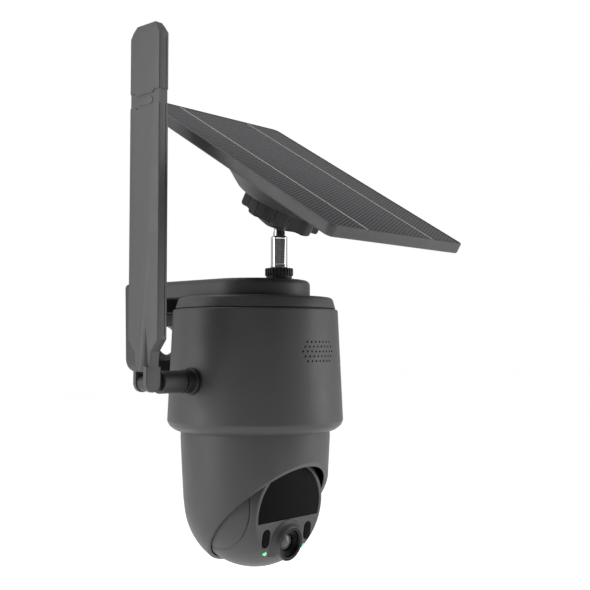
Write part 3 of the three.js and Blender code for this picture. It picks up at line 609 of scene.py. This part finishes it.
# %% [markdown]
# ## Where each drawing goes
# The drawings share the CAD's own centres. The housing's is its vertical axis, with the height
# taken from the top rim of the drum. The ball turns about the tilt joint and looks down a little.
# The antenna's is its folding hinge, and the panel's is the ball joint.

# %% Drawing places
HOUSING_TOP = 6.5
FACE_TILT = math.radians(8.4)

pan_centre = Vector(joints["pan"]["pos_m"])
drum_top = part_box("upper_housing")[1].z
TO_METRES = Matrix.Scale(MM, 4)
HOUSING = Matrix.Translation((pan_centre.x, pan_centre.y, drum_top - HOUSING_TOP * MM)) @ TO_METRES
BALL = (
    Matrix.Translation(joints["tilt"]["pos_m"]) @ Matrix.Rotation(FACE_TILT, 4, "X") @ TO_METRES
)
ANTENNA = Matrix.Translation(joints["antenna_fold"]["pos_m"]) @ TO_METRES
PANEL = Matrix.Translation(PANEL_CENTRE) @ Matrix.Rotation(PANEL_TILT, 4, "X") @ TO_METRES
stalk_centre = Vector(joints["stalk_swivel"]["pos_m"])
STALK = Matrix.Translation((stalk_centre.x, stalk_centre.y, HOUSING.translation.z)) @ TO_METRES
print("the housing's drawing starts at", [round(value, 4) for value in HOUSING.translation])

# %% [markdown]
# ## Arm and wall box
# One moulding: a flat arm with a half-round end and a soft upper edge, grown into a box that
# screws to the wall. The box is open at the front, with a round hole for a cable.
# It could be one extrusion bent at the back, but two blanks joined and then carved follow the
# mould's own logic.

# %% Arm and wall box
WALL_Y = 80.0
ARM_RADIUS = 31.3
ARM_BOTTOM, ARM_TOP = 13.6, 23.3
ARM_EDGE = 3.0
BOX_FRONT, BOX_BOTTOM = 55.0, -30.0
RECESS_BOTTOM, RECESS_TOP = -22.7, 5.7
CABLE_HOLE_RADIUS, CABLE_HOLE_Z = 9.0, -11.0
STUD_Y = -18.3

front = [(x, -z) for x, z in arc(ARM_RADIUS, 0, 180, 48)]
arm_outline = [*front, (-ARM_RADIUS, WALL_Y - 8), (ARM_RADIUS, WALL_Y - 8)]
arm = slab(arm_outline, ARM_BOTTOM, ARM_TOP, 0.5, ARM_EDGE)
BOX_FOOT = 30.2  # half the box's width at its lower edge
box_outline = rounded([
    (ARM_RADIUS, ARM_TOP, ARM_EDGE), (-ARM_RADIUS, ARM_TOP, ARM_EDGE), (-BOX_FOOT, BOX_BOTTOM, 8),
    (BOX_FOOT, BOX_BOTTOM, 8)], closed=True, steps=8)
wall_box = moved(slab(box_outline, -WALL_Y, -BOX_FRONT, 0.0, 0.9), FACING)
recess_outline = rounded_rectangle(ARM_RADIUS - 3, (RECESS_TOP - RECESS_BOTTOM) / 2, 1.6)
recess = moved(
    slab(recess_outline, 4 - WALL_Y, 5 - BOX_FRONT, 0.8, 0.0), FACING,
    shift(z=(RECESS_TOP + RECESS_BOTTOM) / 2))
through_wall = [moved(pin(CABLE_HOLE_RADIUS, -WALL_Y - 5, -60, 48), FACING, shift(z=CABLE_HOLE_Z))]
for x in (-22, 22):
    for z in (-17, 0):
        through_wall.append(moved(pin(2.3, -WALL_Y - 5, -60), FACING, shift(x, 0, z)))
insert_hole = moved(pin(5.5, ARM_BOTTOM + 1, ARM_TOP + 5, 48), shift(y=STUD_Y))
arm_and_box = cut(joined(arm, wall_box), recess, together(*through_wall), insert_hole)
finish_piece("arm_and_wall_box", arm_and_box, HOUSING, arm_abs, "housing", ["wall_bracket"])

# %% [markdown]
# ## Crown and drum
# The fixed housing is a drum that widens slightly downwards and turns under at its lower edge,
# closed by a shallow crown. A fine dark gap separates them. Both are turned, and the speaker
# holes, the antenna's socket, the charging socket and the button hole are cut from the drum.

# %% Crown
crown_top = ARM_BOTTOM - 0.2
crown_bottom = HOUSING_TOP + 0.45
crown_profile = [
    (0, crown_top), *rounded([
        (30, crown_top), (44.1, crown_top - 0.1, 2.2), (45.95, crown_bottom, 0.3),
        (43.9, crown_bottom), (43.9, 3.2), (41.8, 3.2), (41.8, crown_top - 2.2),
    ]), (0, crown_top - 2.2)]
finish_piece("crown", turned(crown_profile, 128), HOUSING, charcoal_abs, "housing", ["top_cap"])

# %% Drum
DRUM_TOP_RADIUS, DRUM_RADIUS = 47.3, 50.2
DRUM_FLARE, DRUM_BOTTOM = -55.5, -61.5
SOCKET_Z, BUTTON_Z, JACK_Z = -30.0, -12.0, -33.0


def drum_radius(z):
    """The drum's outside radius, on its slight cone."""
    along = (HOUSING_TOP - 1.1 - z) / (HOUSING_TOP - 1.1 - DRUM_FLARE)
    return DRUM_TOP_RADIUS + along * (DRUM_RADIUS - DRUM_TOP_RADIUS)


inner_bottom = drum_radius(-54) - 3
drum_profile = rounded([
    (44.2, HOUSING_TOP), (drum_radius(HOUSING_TOP), HOUSING_TOP, 1.2), (DRUM_RADIUS, DRUM_FLARE - 0.8, 3),
    (48.9, -59.0, 4), (45.6, DRUM_BOTTOM, 3), (43.4, DRUM_BOTTOM), (43.4, -59.9), (inner_bottom, -58.8),
    (inner_bottom, -54), (44.2, HOUSING_TOP - 1)], closed=False)
drum = turned(drum_profile, 160)

HOLE_PITCH, HOLE_RADIUS = 3.0, 0.6
speaker_holes = []
for row, count in enumerate((7, 8, 9, 8, 7)):
    for i in range(count):
        x = (i - (count - 1) / 2) * HOLE_PITCH
        z = -17.1 + (2 - row) * HOLE_PITCH * math.sin(math.radians(60))
        speaker_holes.append(moved(pin(HOLE_RADIUS, 40, 55, 12), FACING, shift(x, 0, z)))
jack_hole = moved(pin(3.6, 30, 60), Matrix.Rotation(math.radians(-90), 4, "Y"), shift(z=JACK_Z))
socket_pocket = moved(slab(rounded_rectangle(11, 6, 3.5), 46.9, 60), ALONG_X, shift(z=SOCKET_Z))
socket_hole = moved(slab(rounded_rectangle(7, 3.5, 1.5), 40, 60), ALONG_X, shift(z=SOCKET_Z))
button_hole = moved(pin(4.2, 40, 60, 48), Matrix.Rotation(math.radians(90), 4, "Y"), shift(z=BUTTON_Z))
drum = cut(drum, together(*speaker_holes), together(jack_hole, socket_pocket, button_hole), socket_hole)
finish_piece("drum", drum, HOUSING, charcoal_abs, "housing", ["upper_housing"])

# %% [markdown]
# ## Socket flap and power button
# A rubber flap covers the charging socket on the side, and a rubber button sits above it. The
# flap follows the drum's curve, so it is the common part of a rounded slab and a turned drum.

# %% Socket flap and button
flap = moved(slab(rounded_rectangle(10.7, 5.7, 3.2), 47.2, 60), ALONG_X, shift(z=SOCKET_Z))
curve = turned([(0, SOCKET_Z - 9), (drum_radius(SOCKET_Z - 9), SOCKET_Z - 9),
                (drum_radius(SOCKET_Z + 9), SOCKET_Z + 9), (0, SOCKET_Z + 9)], 160)
flap = common(flap, curve)
thumb_notch = moved(turned(arc(3, -90, 90, 12), 32), shift(51.6, -8.6, SOCKET_Z))
plug = moved(slab(rounded_rectangle(6.6, 3.1, 1.2), 44.7, 47.6, 0.5), ALONG_X, shift(z=SOCKET_Z))
finish_piece(
    "socket_flap", joined(cut(flap, thumb_notch), plug), HOUSING, soft_rubber, "port_flap", ["port_cover"])

button_face = drum_radius(BUTTON_Z) + 0.6
button_profile = [
    (0, 43), *rounded([
        (5.2, 43), (5.2, 44.2), (3.9, 44.2), (3.9, button_face, 0.5), (2.9, button_face, 0.3)]),
    (2.2, button_face - 0.35), (0, button_face - 0.5)]
button = moved(turned(button_profile, 48), Matrix.Rotation(math.radians(90), 4, "Y"), shift(z=BUTTON_Z))
finish_piece("push_button", button, HOUSING, soft_rubber, "button", ["power_button"])

# %% [markdown]
# ## Yoke
# The turning yoke is a cup round the ball, cut off along a slanting plane so that the ball can
# look out. Its wall is seen at the cut, where a rounded lip catches the light.
# The cup is turned as a closed shell, sliced with bisect_plane, and the two cut loops are bridged
# and then bevelled.

# %% Yoke
YOKE_TOP, YOKE_TOP_RADIUS, YOKE_RADIUS, YOKE_BORE = -58.8, 42.6, 40.8, 38.6
YOKE_CUT = -119.4  # the yoke ends at the plane y + z = this
BALL_Z = -100.7
LIP_RADIUS = 1.0

yoke_profile = [
    *arc(YOKE_RADIUS - 0.4, -90, -4, 30, BALL_Z), (YOKE_RADIUS, BALL_Z + 1), (41.7, -84),
    (YOKE_TOP_RADIUS, -66), (YOKE_TOP_RADIUS, YOKE_TOP), (40.2, YOKE_TOP), (40.2, -66), (39.4, -84),
    (YOKE_BORE, BALL_Z + 3), *arc(YOKE_BORE, 0, -90, 30, BALL_Z)]
yoke = turned(yoke_profile, 128)
slice_normal = Vector((0, -1, -1)).normalized()
sliced = bmesh.ops.bisect_plane(
    yoke, geom=[*yoke.verts, *yoke.edges, *yoke.faces], plane_co=(0, 0, YOKE_CUT), plane_no=slice_normal,
    clear_outer=True)
rim = [part for part in sliced["geom_cut"] if isinstance(part, bmesh.types.BMVert)]
bmesh.ops.remove_doubles(yoke, verts=rim, dist=0.5)
rim_edges = [edge for edge in yoke.edges if edge.is_boundary]
lip = bmesh.ops.bridge_loops(yoke, edges=rim_edges)["faces"]
inner_and_outer = {edge for face in lip for edge in face.edges} & set(rim_edges)
soften(yoke, list(inner_and_outer), LIP_RADIUS, 3)
bmesh.ops.recalc_face_normals(yoke, faces=yoke.faces)
axle_bore = moved(
    pin(3.2, -40.2, 40.2, 32), Matrix.Rotation(math.radians(90), 4, "Y"),
    shift(z=BALL_Z))
finish_piece("yoke_cup", cut(yoke, axle_bore), HOUSING, charcoal_abs, "yoke", ["yoke_shell"])

# %% [markdown]
# ## Ball
# The tilting ball is a hollow sphere with a flat face. Its middle part carries the face, the
# window and the lens collar, and a cap closes it at each side behind a fine seam.
# The middle is turned about the line of sight, so that the rim of the face gets a clean fillet.

# %% Ball: middle part
BALL_RADIUS, BALL_WALL, BALL_SEAM, SEAM_GAP = 37.85, 2.25, 29.0, 0.36
FACE_DEPTH = 26.7
LENS_Z = -18.1
WINDOW_RADIUS, WINDOW_CHORD = 24.5, -4.8
OVAL_X, OVAL_Z = 16.9, -13.8
LED_X, LED_Z = 15.5, -22.3
FACE_FILLET = 1.6
FLARE_REACH = 38.15  # the lens collar's flare stays inside this, so that it clears the yoke


def window_outline(grow=0.0, steps=64):
    """A disc's larger part above a chord, made bigger all round by grow."""
    radius, chord = WINDOW_RADIUS + grow, WINDOW_CHORD - grow
    start = math.degrees(math.asin(chord / radius))
    return arc(radius, start, 180 - start, steps)


def on_face(bm, x=0.0, z=0.0):
    return moved(bm, FACING, shift(x=x, z=z))


face_angle = math.degrees(math.asin(FACE_DEPTH / BALL_RADIUS))
sphere_points = arc(BALL_RADIUS, -90, face_angle - 3, 60)
face_edge = math.sqrt(BALL_RADIUS ** 2 - FACE_DEPTH ** 2)
face_rim = rounded([sphere_points[-1], (face_edge, FACE_DEPTH, FACE_FILLET), (20, FACE_DEPTH)])
ball = moved(turned([*sphere_points, *face_rim[1:], (0, FACE_DEPTH)], 160), FACING)
inner_depth = FACE_DEPTH - BALL_WALL
inner_radius = BALL_RADIUS - BALL_WALL
inner_angle = math.degrees(math.asin(inner_depth / inner_radius))
hollow = moved(turned([*arc(inner_radius, -90, inner_angle, 40), (0, inner_depth)], 96), FACING)

flare_profile = [(0, 24.6), *rounded([
    (12.9, 24.6), (12.9, FACE_DEPTH + 0.1, 0.3), (10.9, 28.2, 2), (9.6, 30, 0.6), (9.1, 30.4)]), (0, 30.4)]
collar_profile = [
    (0, 24.6), *rounded([(9.7, 24.6), (9.7, 29.4), (9.6, 30, 0.3), (9.1, 30.4)]), (0, 30.4)]
flare = common(on_face(turned(flare_profile), 0, LENS_Z), turned(arc(FLARE_REACH, -90, 90, 60), 128))
collar = joined(flare, on_face(turned(collar_profile), 0, LENS_Z))

openings = together(
    on_face(slab(window_outline(0.3), FACE_DEPTH - 1.3, 40)),
    on_face(slab(rounded_rectangle(3.05, 5.15, 3.04, 12), 15, 40), OVAL_X, OVAL_Z),
    on_face(slab(rounded_rectangle(3.05, 5.15, 3.04, 12), 15, 40), -OVAL_X, OVAL_Z),
    on_face(pin(1.3, 15, 40), LED_X, LED_Z),
    on_face(pin(1.3, 15, 40), -LED_X, LED_Z),
    on_face(pin(0.5, 15, 40, 12), -12.6, -24.0),
    on_face(pin(8.9, 15, 40, 64), 0, LENS_Z),
)
window_opening = on_face(slab(window_outline(-2.0), 15, 40))
seam = BALL_SEAM - SEAM_GAP / 2
seam_cut = [(0, seam), (24.0, seam), (25.6, seam - 0.75), (60, seam - 0.75), (60, 60), (0, 60)]
side_cuts = together(*[
    moved(turned(seam_cut, 128), Matrix.Rotation(math.radians(angle), 4, "Y")) for angle in (90, -90)])
ball = cut(joined(cut(ball, hollow), collar), openings, window_opening, side_cuts)
finish_piece("ball_middle", ball, BALL, charcoal_abs, "ball", ["ball_shell"])

# %% Ball: side caps
cap_seam = BALL_SEAM + SEAM_GAP / 2
cap_outer = math.degrees(math.asin((cap_seam + 0.3) / BALL_RADIUS))
cap_inner = math.degrees(math.asin(cap_seam / inner_radius))
hole_angle = math.degrees(math.acos(3.3 / BALL_RADIUS))
inner_hole_angle = math.degrees(math.acos(3.3 / inner_radius))
cap_edge = math.sqrt(BALL_RADIUS ** 2 - cap_seam ** 2)
cap_profile = [
    *arc(BALL_RADIUS, hole_angle, cap_outer, 24), (cap_edge - 0.35, cap_seam),
    *arc(inner_radius, cap_inner, inner_hole_angle, 16)]
for name, node, angle in (
        ("ball_side_right", "ball_cap_right", 90), ("ball_side_left", "ball_cap_left", -90)):
    cap = moved(turned(cap_profile, 128), Matrix.Rotation(math.radians(angle), 4, "Y"))
    finish_piece(name, cap, BALL, charcoal_abs, "ball", [node])

# %% [markdown]
# ## Windows, lens and pilot lights
# The floodlight window and the two motion-sensor windows are black plastic that passes infrared
# light. The lens sits in a black ring: a stepped tube leads down to the coated glass.

# %% Windows
window = on_face(slab(window_outline(), FACE_DEPTH - 1, FACE_DEPTH + 0.05, 0.0, 0.25))
finish_piece(
    "floodlight_window", window, BALL, filter_polycarbonate, "ball", ["light_window"])
for side, name in ((-1, "left"), (1, "right")):
    oval = slab(rounded_rectangle(2.8, 4.9, 2.79, 12), 24.3, FACE_DEPTH + 0.1, 0.0, 0.5)
    finish_piece(
        f"motion_window_{name}", on_face(oval, side * OVAL_X, OVAL_Z), BALL, filter_polycarbonate, "ball",
        [f"sensor_window_{name}"])

# %% Lens
ring_profile = rounded([
    (7.2, 21), (8.6, 21), (8.6, 30.3, 0.3), (7.7, 30.3, 0.3), (7.2, 29.2, 0.2)], closed=True)
finish_piece(
    "lens_ring", on_face(turned(ring_profile), 0, LENS_Z), BALL, lens_black, "ball", ["lens_bezel"])
tube_profile = [
    (0, 9), (6.9, 9), (6.9, 28.7), (6.5, 28.7), (6.3, 28.1), (6.0, 28.1), (5.8, 27.7),
    (5.5, 27.7), (5.3, 27.2), (5.0, 27.2), (4.9, 24.7), (0, 24.7)]
finish_piece(
    "lens_tube", on_face(turned(tube_profile), 0, LENS_Z), BALL, lens_black, "ball", ["lens_barrel"])
glass_profile = [(0, 24.9), (4.5, 24.9), (4.5, 26.1), *arc(7.4, 52, 90, 10, 20.4)]
finish_piece(
    "lens_front", on_face(turned(glass_profile), 0, LENS_Z), BALL, lens_glass_finish, "ball", ["lens_glass"])

# %% Pilot lights
light_profile = [(0, 21.6), (1.15, 21.6), (1.15, 25.8), *arc(1.15, 15, 90, 6, 25.5)]
for name, node, side, finish, slot in (
        ("green_pilot", "status_led", -1, green_glow, "green_light"),
        ("cyan_pilot", "signal_led", 1, cyan_glow, "cyan_light")):
    guide = on_face(turned(light_profile, 32), side * LED_X, LED_Z)
    finish_piece(name, guide, BALL, finish, "ball", [node])

# %% [markdown]
# ## Antenna
# The paddle is two thin shells glued together, so a seam runs down its narrow side. Its top is
# chamfered on all sides. A shallow band crosses it near the top and carries a plain raised plaque.
# A ridge widens down each face into the fork of the folding hinge.

# %% Antenna paddle
PADDLE_HALF, PADDLE_THICK = 11.7, 6.2
PADDLE_TOP = 186.0  # above the folding hinge
paddle_outline = [
    (-PADDLE_HALF, 22.2), (-6.5, 16), (-5.4, 7), (5.4, 7), (6.5, 16), (PADDLE_HALF, 22.2),
    (PADDLE_HALF, PADDLE_TOP - 6), (PADDLE_HALF - 4.4, PADDLE_TOP),
    (4.4 - PADDLE_HALF, PADDLE_TOP), (-PADDLE_HALF, PADDLE_TOP - 6)]
face_x = PADDLE_THICK / 2
paddle = moved(slab(paddle_outline, -face_x, face_x, 0.45, 0.45), ALONG_X)
for side in (-1, 1):
    chamfer = [(side * 1.9, PADDLE_TOP + 1), (side * 5, PADDLE_TOP + 1), (side * 5, PADDLE_TOP - 6),
               (side * (face_x + 0.05), PADDLE_TOP - 4)]
    wedge = moved(slab(chamfer, -20, 20), Matrix.Rotation(math.radians(90), 4, "X"))
    paddle = cut(paddle, wedge)

FORK_HALF_X, FORK_HALF_Y = 4.85, 5.5
foot = [(FORK_HALF_X * math.cos(a), FORK_HALF_X * math.sin(a))
        for a in [math.radians(180 + 7.5 * i) for i in range(25)]]
neck = moved(
    slab([*foot, (FORK_HALF_X, 8.5), (-FORK_HALF_X, 8.5)], -FORK_HALF_Y, FORK_HALF_Y, 0.8, 0.8),
    Matrix.Rotation(math.radians(90), 4, "X"))
ridge = turned([(0, 6.5), (5.7, 6.5), (3.0, 39), (0, 39)], 64)
slot_cut = box(-10, 10, -3, 3, -30, 5.8)
hinge_hole = moved(pin(1.5, -4.8, 4.8), FACING)
core_slot = joined(box(-0.9, 0.9, -2.5, 2.5, 3, 20), box(-0.9, 0.9, -7, 7, 19, 175))
band_outline = [
    (-14, 143), (-7.5, 143), (-6.2, 141.6), (6.2, 141.6), (7.5, 143), (14, 143),
    (14, 150.5), (7.5, 150.5), (6.2, 149), (-6.2, 149), (-7.5, 150.5), (-14, 150.5)]
band = cut(
    moved(slab(band_outline, -6, 6), ALONG_X), box(0.4 - face_x, face_x - 0.4, -11.3, 11.3, 130, 160))
plaque_outline = [(-5.2, 143.4), (5.2, 143.4), (6.6, 145.2), (5.2, 147.4), (-5.2, 147.4), (-6.6, 145.2)]
plaque = moved(slab(plaque_outline, 0.1 - face_x, face_x - 0.1, 0.15, 0.15), ALONG_X)
seam_line = together(
    box(1.2, 1.6, -13, 0.25 - PADDLE_HALF, 24, PADDLE_TOP - 8),
    box(1.2, 1.6, PADDLE_HALF - 0.25, 13, 24, PADDLE_TOP - 8))
paddle = joined(cut(joined(paddle, neck, ridge), band, seam_line), plaque)
paddle = cut(paddle, slot_cut, hinge_hole, core_slot)
finish_piece(
    "antenna_paddle", paddle, ANTENNA, antenna_abs, "antenna", ["antenna_blade"])

# %% [markdown]
# The elbow under it holds the hinge's tongue and turns on the jack. A rubber collar seals it
# against the drum.

# %% Antenna elbow and collar
TONGUE_RADIUS = 4.4
tongue_outline = [
    (TONGUE_RADIUS * math.cos(a), TONGUE_RADIUS * math.sin(a))
    for a in [math.radians(90 + 7.5 * i) for i in range(25)]]
tongue_outline += [(10, -TONGUE_RADIUS), (10, TONGUE_RADIUS)]
tongue = moved(slab(tongue_outline, -2.7, 2.7, 0.4, 0.4), Matrix.Rotation(math.radians(90), 4, "X"))
barrel_profile = [
    (0, 7.6), *rounded([(4.6, 7.6), (5.95, 7.6, 0.6), (5.95, 23.4, 0.5), (4.2, 23.4)]), (0, 23.4)]
barrel = moved(turned(barrel_profile), Matrix.Rotation(math.radians(90), 4, "Y"))
jack_bore = moved(pin(3.5, 18, 40, 32), Matrix.Rotation(math.radians(90), 4, "Y"))
elbow = cut(joined(tongue, barrel), jack_bore, moved(pin(1.5, -10, 10), FACING))
finish_piece(
    "antenna_elbow", elbow, ANTENNA, arm_abs, "antenna_base", ["antenna_knuckle"])

collar_profile = rounded([
    (3.6, 49.6), (7.3, 49.6, 0.4), (7.3, 50.9, 0.4), (6.3, 51.3, 0.3), (6.3, 56.2, 0.4),
    (3.6, 56.2)], closed=True)
collar = moved(turned(collar_profile), Matrix.Rotation(math.radians(-90), 4, "Y"), shift(z=JACK_Z))
finish_piece("jack_collar", collar, HOUSING, black_abs, "housing", ["jack_seal"])

# %% [markdown]
# ## Stalk
# A ribbed nut locks the chrome stalk in the arm. The stalk's sleeve is knurled for grip: quads in
# rings, every second ring turned by half a step, and each quad poked out to a low pyramid, make
# the zigzag of a real knurl.

# %% Stalk
RIBS = 26
nut_profile = rounded([
    (3.7, 23.5), (7.25, 23.5, 0.3), (7.25, 25.3), (7.25, 29.6, 1.0), (3.7, 29.6)], closed=True)
rib = moved(slab(rounded_rectangle(1.2, 0.62, 0.3, 2), 25.3, 29.5, 0.4, 0.7), shift(6.75))
bmesh.ops.spin(
    rib, geom=[*rib.verts, *rib.edges, *rib.faces], cent=(0, 0, 0), axis=(0, 0, 1),
    angle=2 * math.pi * (RIBS - 1) / RIBS, steps=RIBS - 1, use_duplicate=True)
finish_piece(
    "ribbed_nut", joined(turned(nut_profile), rib), STALK, black_abs, "nut", ["thumb_nut"])

KNURL_STEPS, KNURL_BOTTOM, KNURL_TOP, KNURL_ROWS, KNURL_DEPTH = 28, 31.6, 46.0, 17, 0.08
heights = [KNURL_BOTTOM + (KNURL_TOP - KNURL_BOTTOM) * i / KNURL_ROWS for i in range(KNURL_ROWS + 1)]
sleeve_profile = [
    (3.7, 29.9), (4.5, 29.9), (4.8, 30.2), (4.8, 31.3), *[(4.68, height) for height in heights],
    (4.8, 46.3), (4.8, 46.9), (4.1, 47.8), (3.7, 47.8)]
sleeve = turned(sleeve_profile, KNURL_STEPS)
half_step = Matrix.Rotation(math.pi / KNURL_STEPS, 3, "Z")
for height in heights[1:-1:2]:
    ring = [v for v in sleeve.verts if abs(v.co.z - height) < 0.01 and v.co.xy.length > 4.2]
    bmesh.ops.rotate(sleeve, cent=(0, 0, 0), matrix=half_step, verts=ring)
knurl = [
    face for face in sleeve.faces
    if all(KNURL_BOTTOM - 0.01 < v.co.z < KNURL_TOP + 0.01 and v.co.xy.length > 4.2 for v in face.verts)]
bmesh.ops.poke(sleeve, faces=knurl, offset=KNURL_DEPTH)
finish_piece(
    "knurled_grip", sleeve, STALK, bright_chrome, "stalk", ["knurled_sleeve"], crease=24)

JOINT_Z = 58.0
stud_profile = [
    (0, 15), (3.4, 15), (3.4, JOINT_Z - 8), (2.9, JOINT_Z - 6.8), (2.9, JOINT_Z - 4.4),
    *arc(5.6, -52, 90, 16, JOINT_Z)]
finish_piece("ball_pin", turned(stud_profile, 64), STALK, bright_chrome, "stalk", ["ball_stud"])

# %% [markdown]
# ## Panel, dish and clamp nut
# The panel is a thin moulded tray with a glued film on top. A shallow cone on its back carries
# the ball joint, and a black nut with eight soft lobes clamps it.

# %% Dish
dish_profile = [(0, 12.4), *rounded([
    (27.2, 12.4), (42.4, 24.2), (45, 24.2), (44.6, 22.9, 0.5), (34, 14.4), (33.6, 14.0), (29.8, 10.9, 0.3),
    (28.4, 10.2, 0.8), (13.4, 10.2), (13.4, -0.4), (13.9, -0.4, 0.3), (12.4, -3.1, 2), (6, -5.8, 1.0),
    (4, -5.8)]), (0, -5.8)]
NOTCH_TILT = math.radians(22.5)
NOTCH_REACH = 30.0
notch_width = NOTCH_REACH * math.tan(math.radians(58))
notch = moved(
    turned([(0, 0), (notch_width, -NOTCH_REACH), (0, -NOTCH_REACH)], 64),
    Matrix.Rotation(-NOTCH_TILT, 4, "X"))
upper_half = box(-20, 20, -20, 20, 1, 20)
seat_room = common(turned(arc(7.9, -90, 90, 24), 64), upper_half)
dish = cut(turned(dish_profile, 128), turned(arc(6.2, -90, 90, 24), 64), seat_room, notch)
finish_piece("panel_dish", dish, PANEL, tray_abs, "panel", ["socket_dish"])

# %% Clamp nut
LOBES = 8


def lobe_radius(angle):
    """The nut's outline: a circle with eight flat-topped, softly shouldered lobes."""
    swell = 1 / (1 + math.exp(-6 * (math.cos(LOBES * angle) - 0.15)))
    return 20.3 + 3.0 * swell


nut_angles = [2 * math.pi * i / 192 for i in range(192)]
nut_outline = [(lobe_radius(a) * math.cos(a), lobe_radius(a) * math.sin(a)) for a in nut_angles]
clamp = cut(slab(nut_outline, -0.1, 9.9, 1.4, 0.6), pin(13.7, -5, 20, 96))
finish_piece("lobed_nut", clamp, PANEL, black_abs, "clamp", ["clamp_nut"])

# %% Panel tray and film
panel_low, panel_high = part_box("panel_frame")
PANEL_HALF_X, PANEL_HALF_Y = (panel_high.x - panel_low.x) / 2 / MM, 82.05
PANEL_TOP, PANEL_THICK = 30.4, 6.1
RIM, LEDGE = 1.2, 2.6
under = PANEL_TOP - PANEL_THICK
tray = slab(rounded_rectangle(PANEL_HALF_X, PANEL_HALF_Y, 4), under, PANEL_TOP, 1.1, 0.35)
film_room = slab(
    rounded_rectangle(PANEL_HALF_X - RIM, PANEL_HALF_Y - RIM, 2.9), PANEL_TOP - LEDGE, PANEL_TOP + 5)
finish_piece(
    "panel_tray", cut(tray, film_room), PANEL, tray_abs, "panel", ["panel_frame"])
film_inset = RIM + 0.25
film = slab(
    rounded_rectangle(PANEL_HALF_X - film_inset, PANEL_HALF_Y - film_inset, 2.7), PANEL_TOP - LEDGE + 0.1,
    PANEL_TOP - 0.15, 0.0, 0.3)
finish_piece("solar_sheet", film, PANEL, solar_film, "panel", ["solar_laminate"])

# %% [markdown]
# ## The CAD's own pieces
# What is inside keeps its CAD shape and only gets a better finish: gears, motors, boards, cells,
# screws and bearings.

# %% Finishes for the CAD's own pieces
KEPT = {
    charcoal_abs: ["turntable"],
    black_abs: ["base_plate", "speaker_driver"],
    soft_rubber: ["cap_seal", "antenna_lead"],
    turned_brass: ["antenna_jack", "stud_insert"],
    plated_steel: [
        "base_screw_1", "base_screw_2", "base_screw_3", "pan_motor", "hub_nut", "trunnion_pin", "tilt_axle",
        "tilt_motor", "antenna_pin"],
    solder_resist: ["main_board", "port_board", "light_board", "sensor_board", "antenna_radiator"],
    natural_acetal: ["pan_gear", "pan_pinion", "pan_bearing", "tilt_gear", "tilt_pinion", "ball_seat"],
    shrink_film: ["battery_cell_1", "battery_cell_2", "battery_cell_3"],
}
for finish, names in KEPT.items():
    for name in names:
        for material_slot in frame["nodes"][name].material_slots:
            material_slot.material = finish
print(sum(map(len, KEPT.values())), "CAD pieces kept their shape")
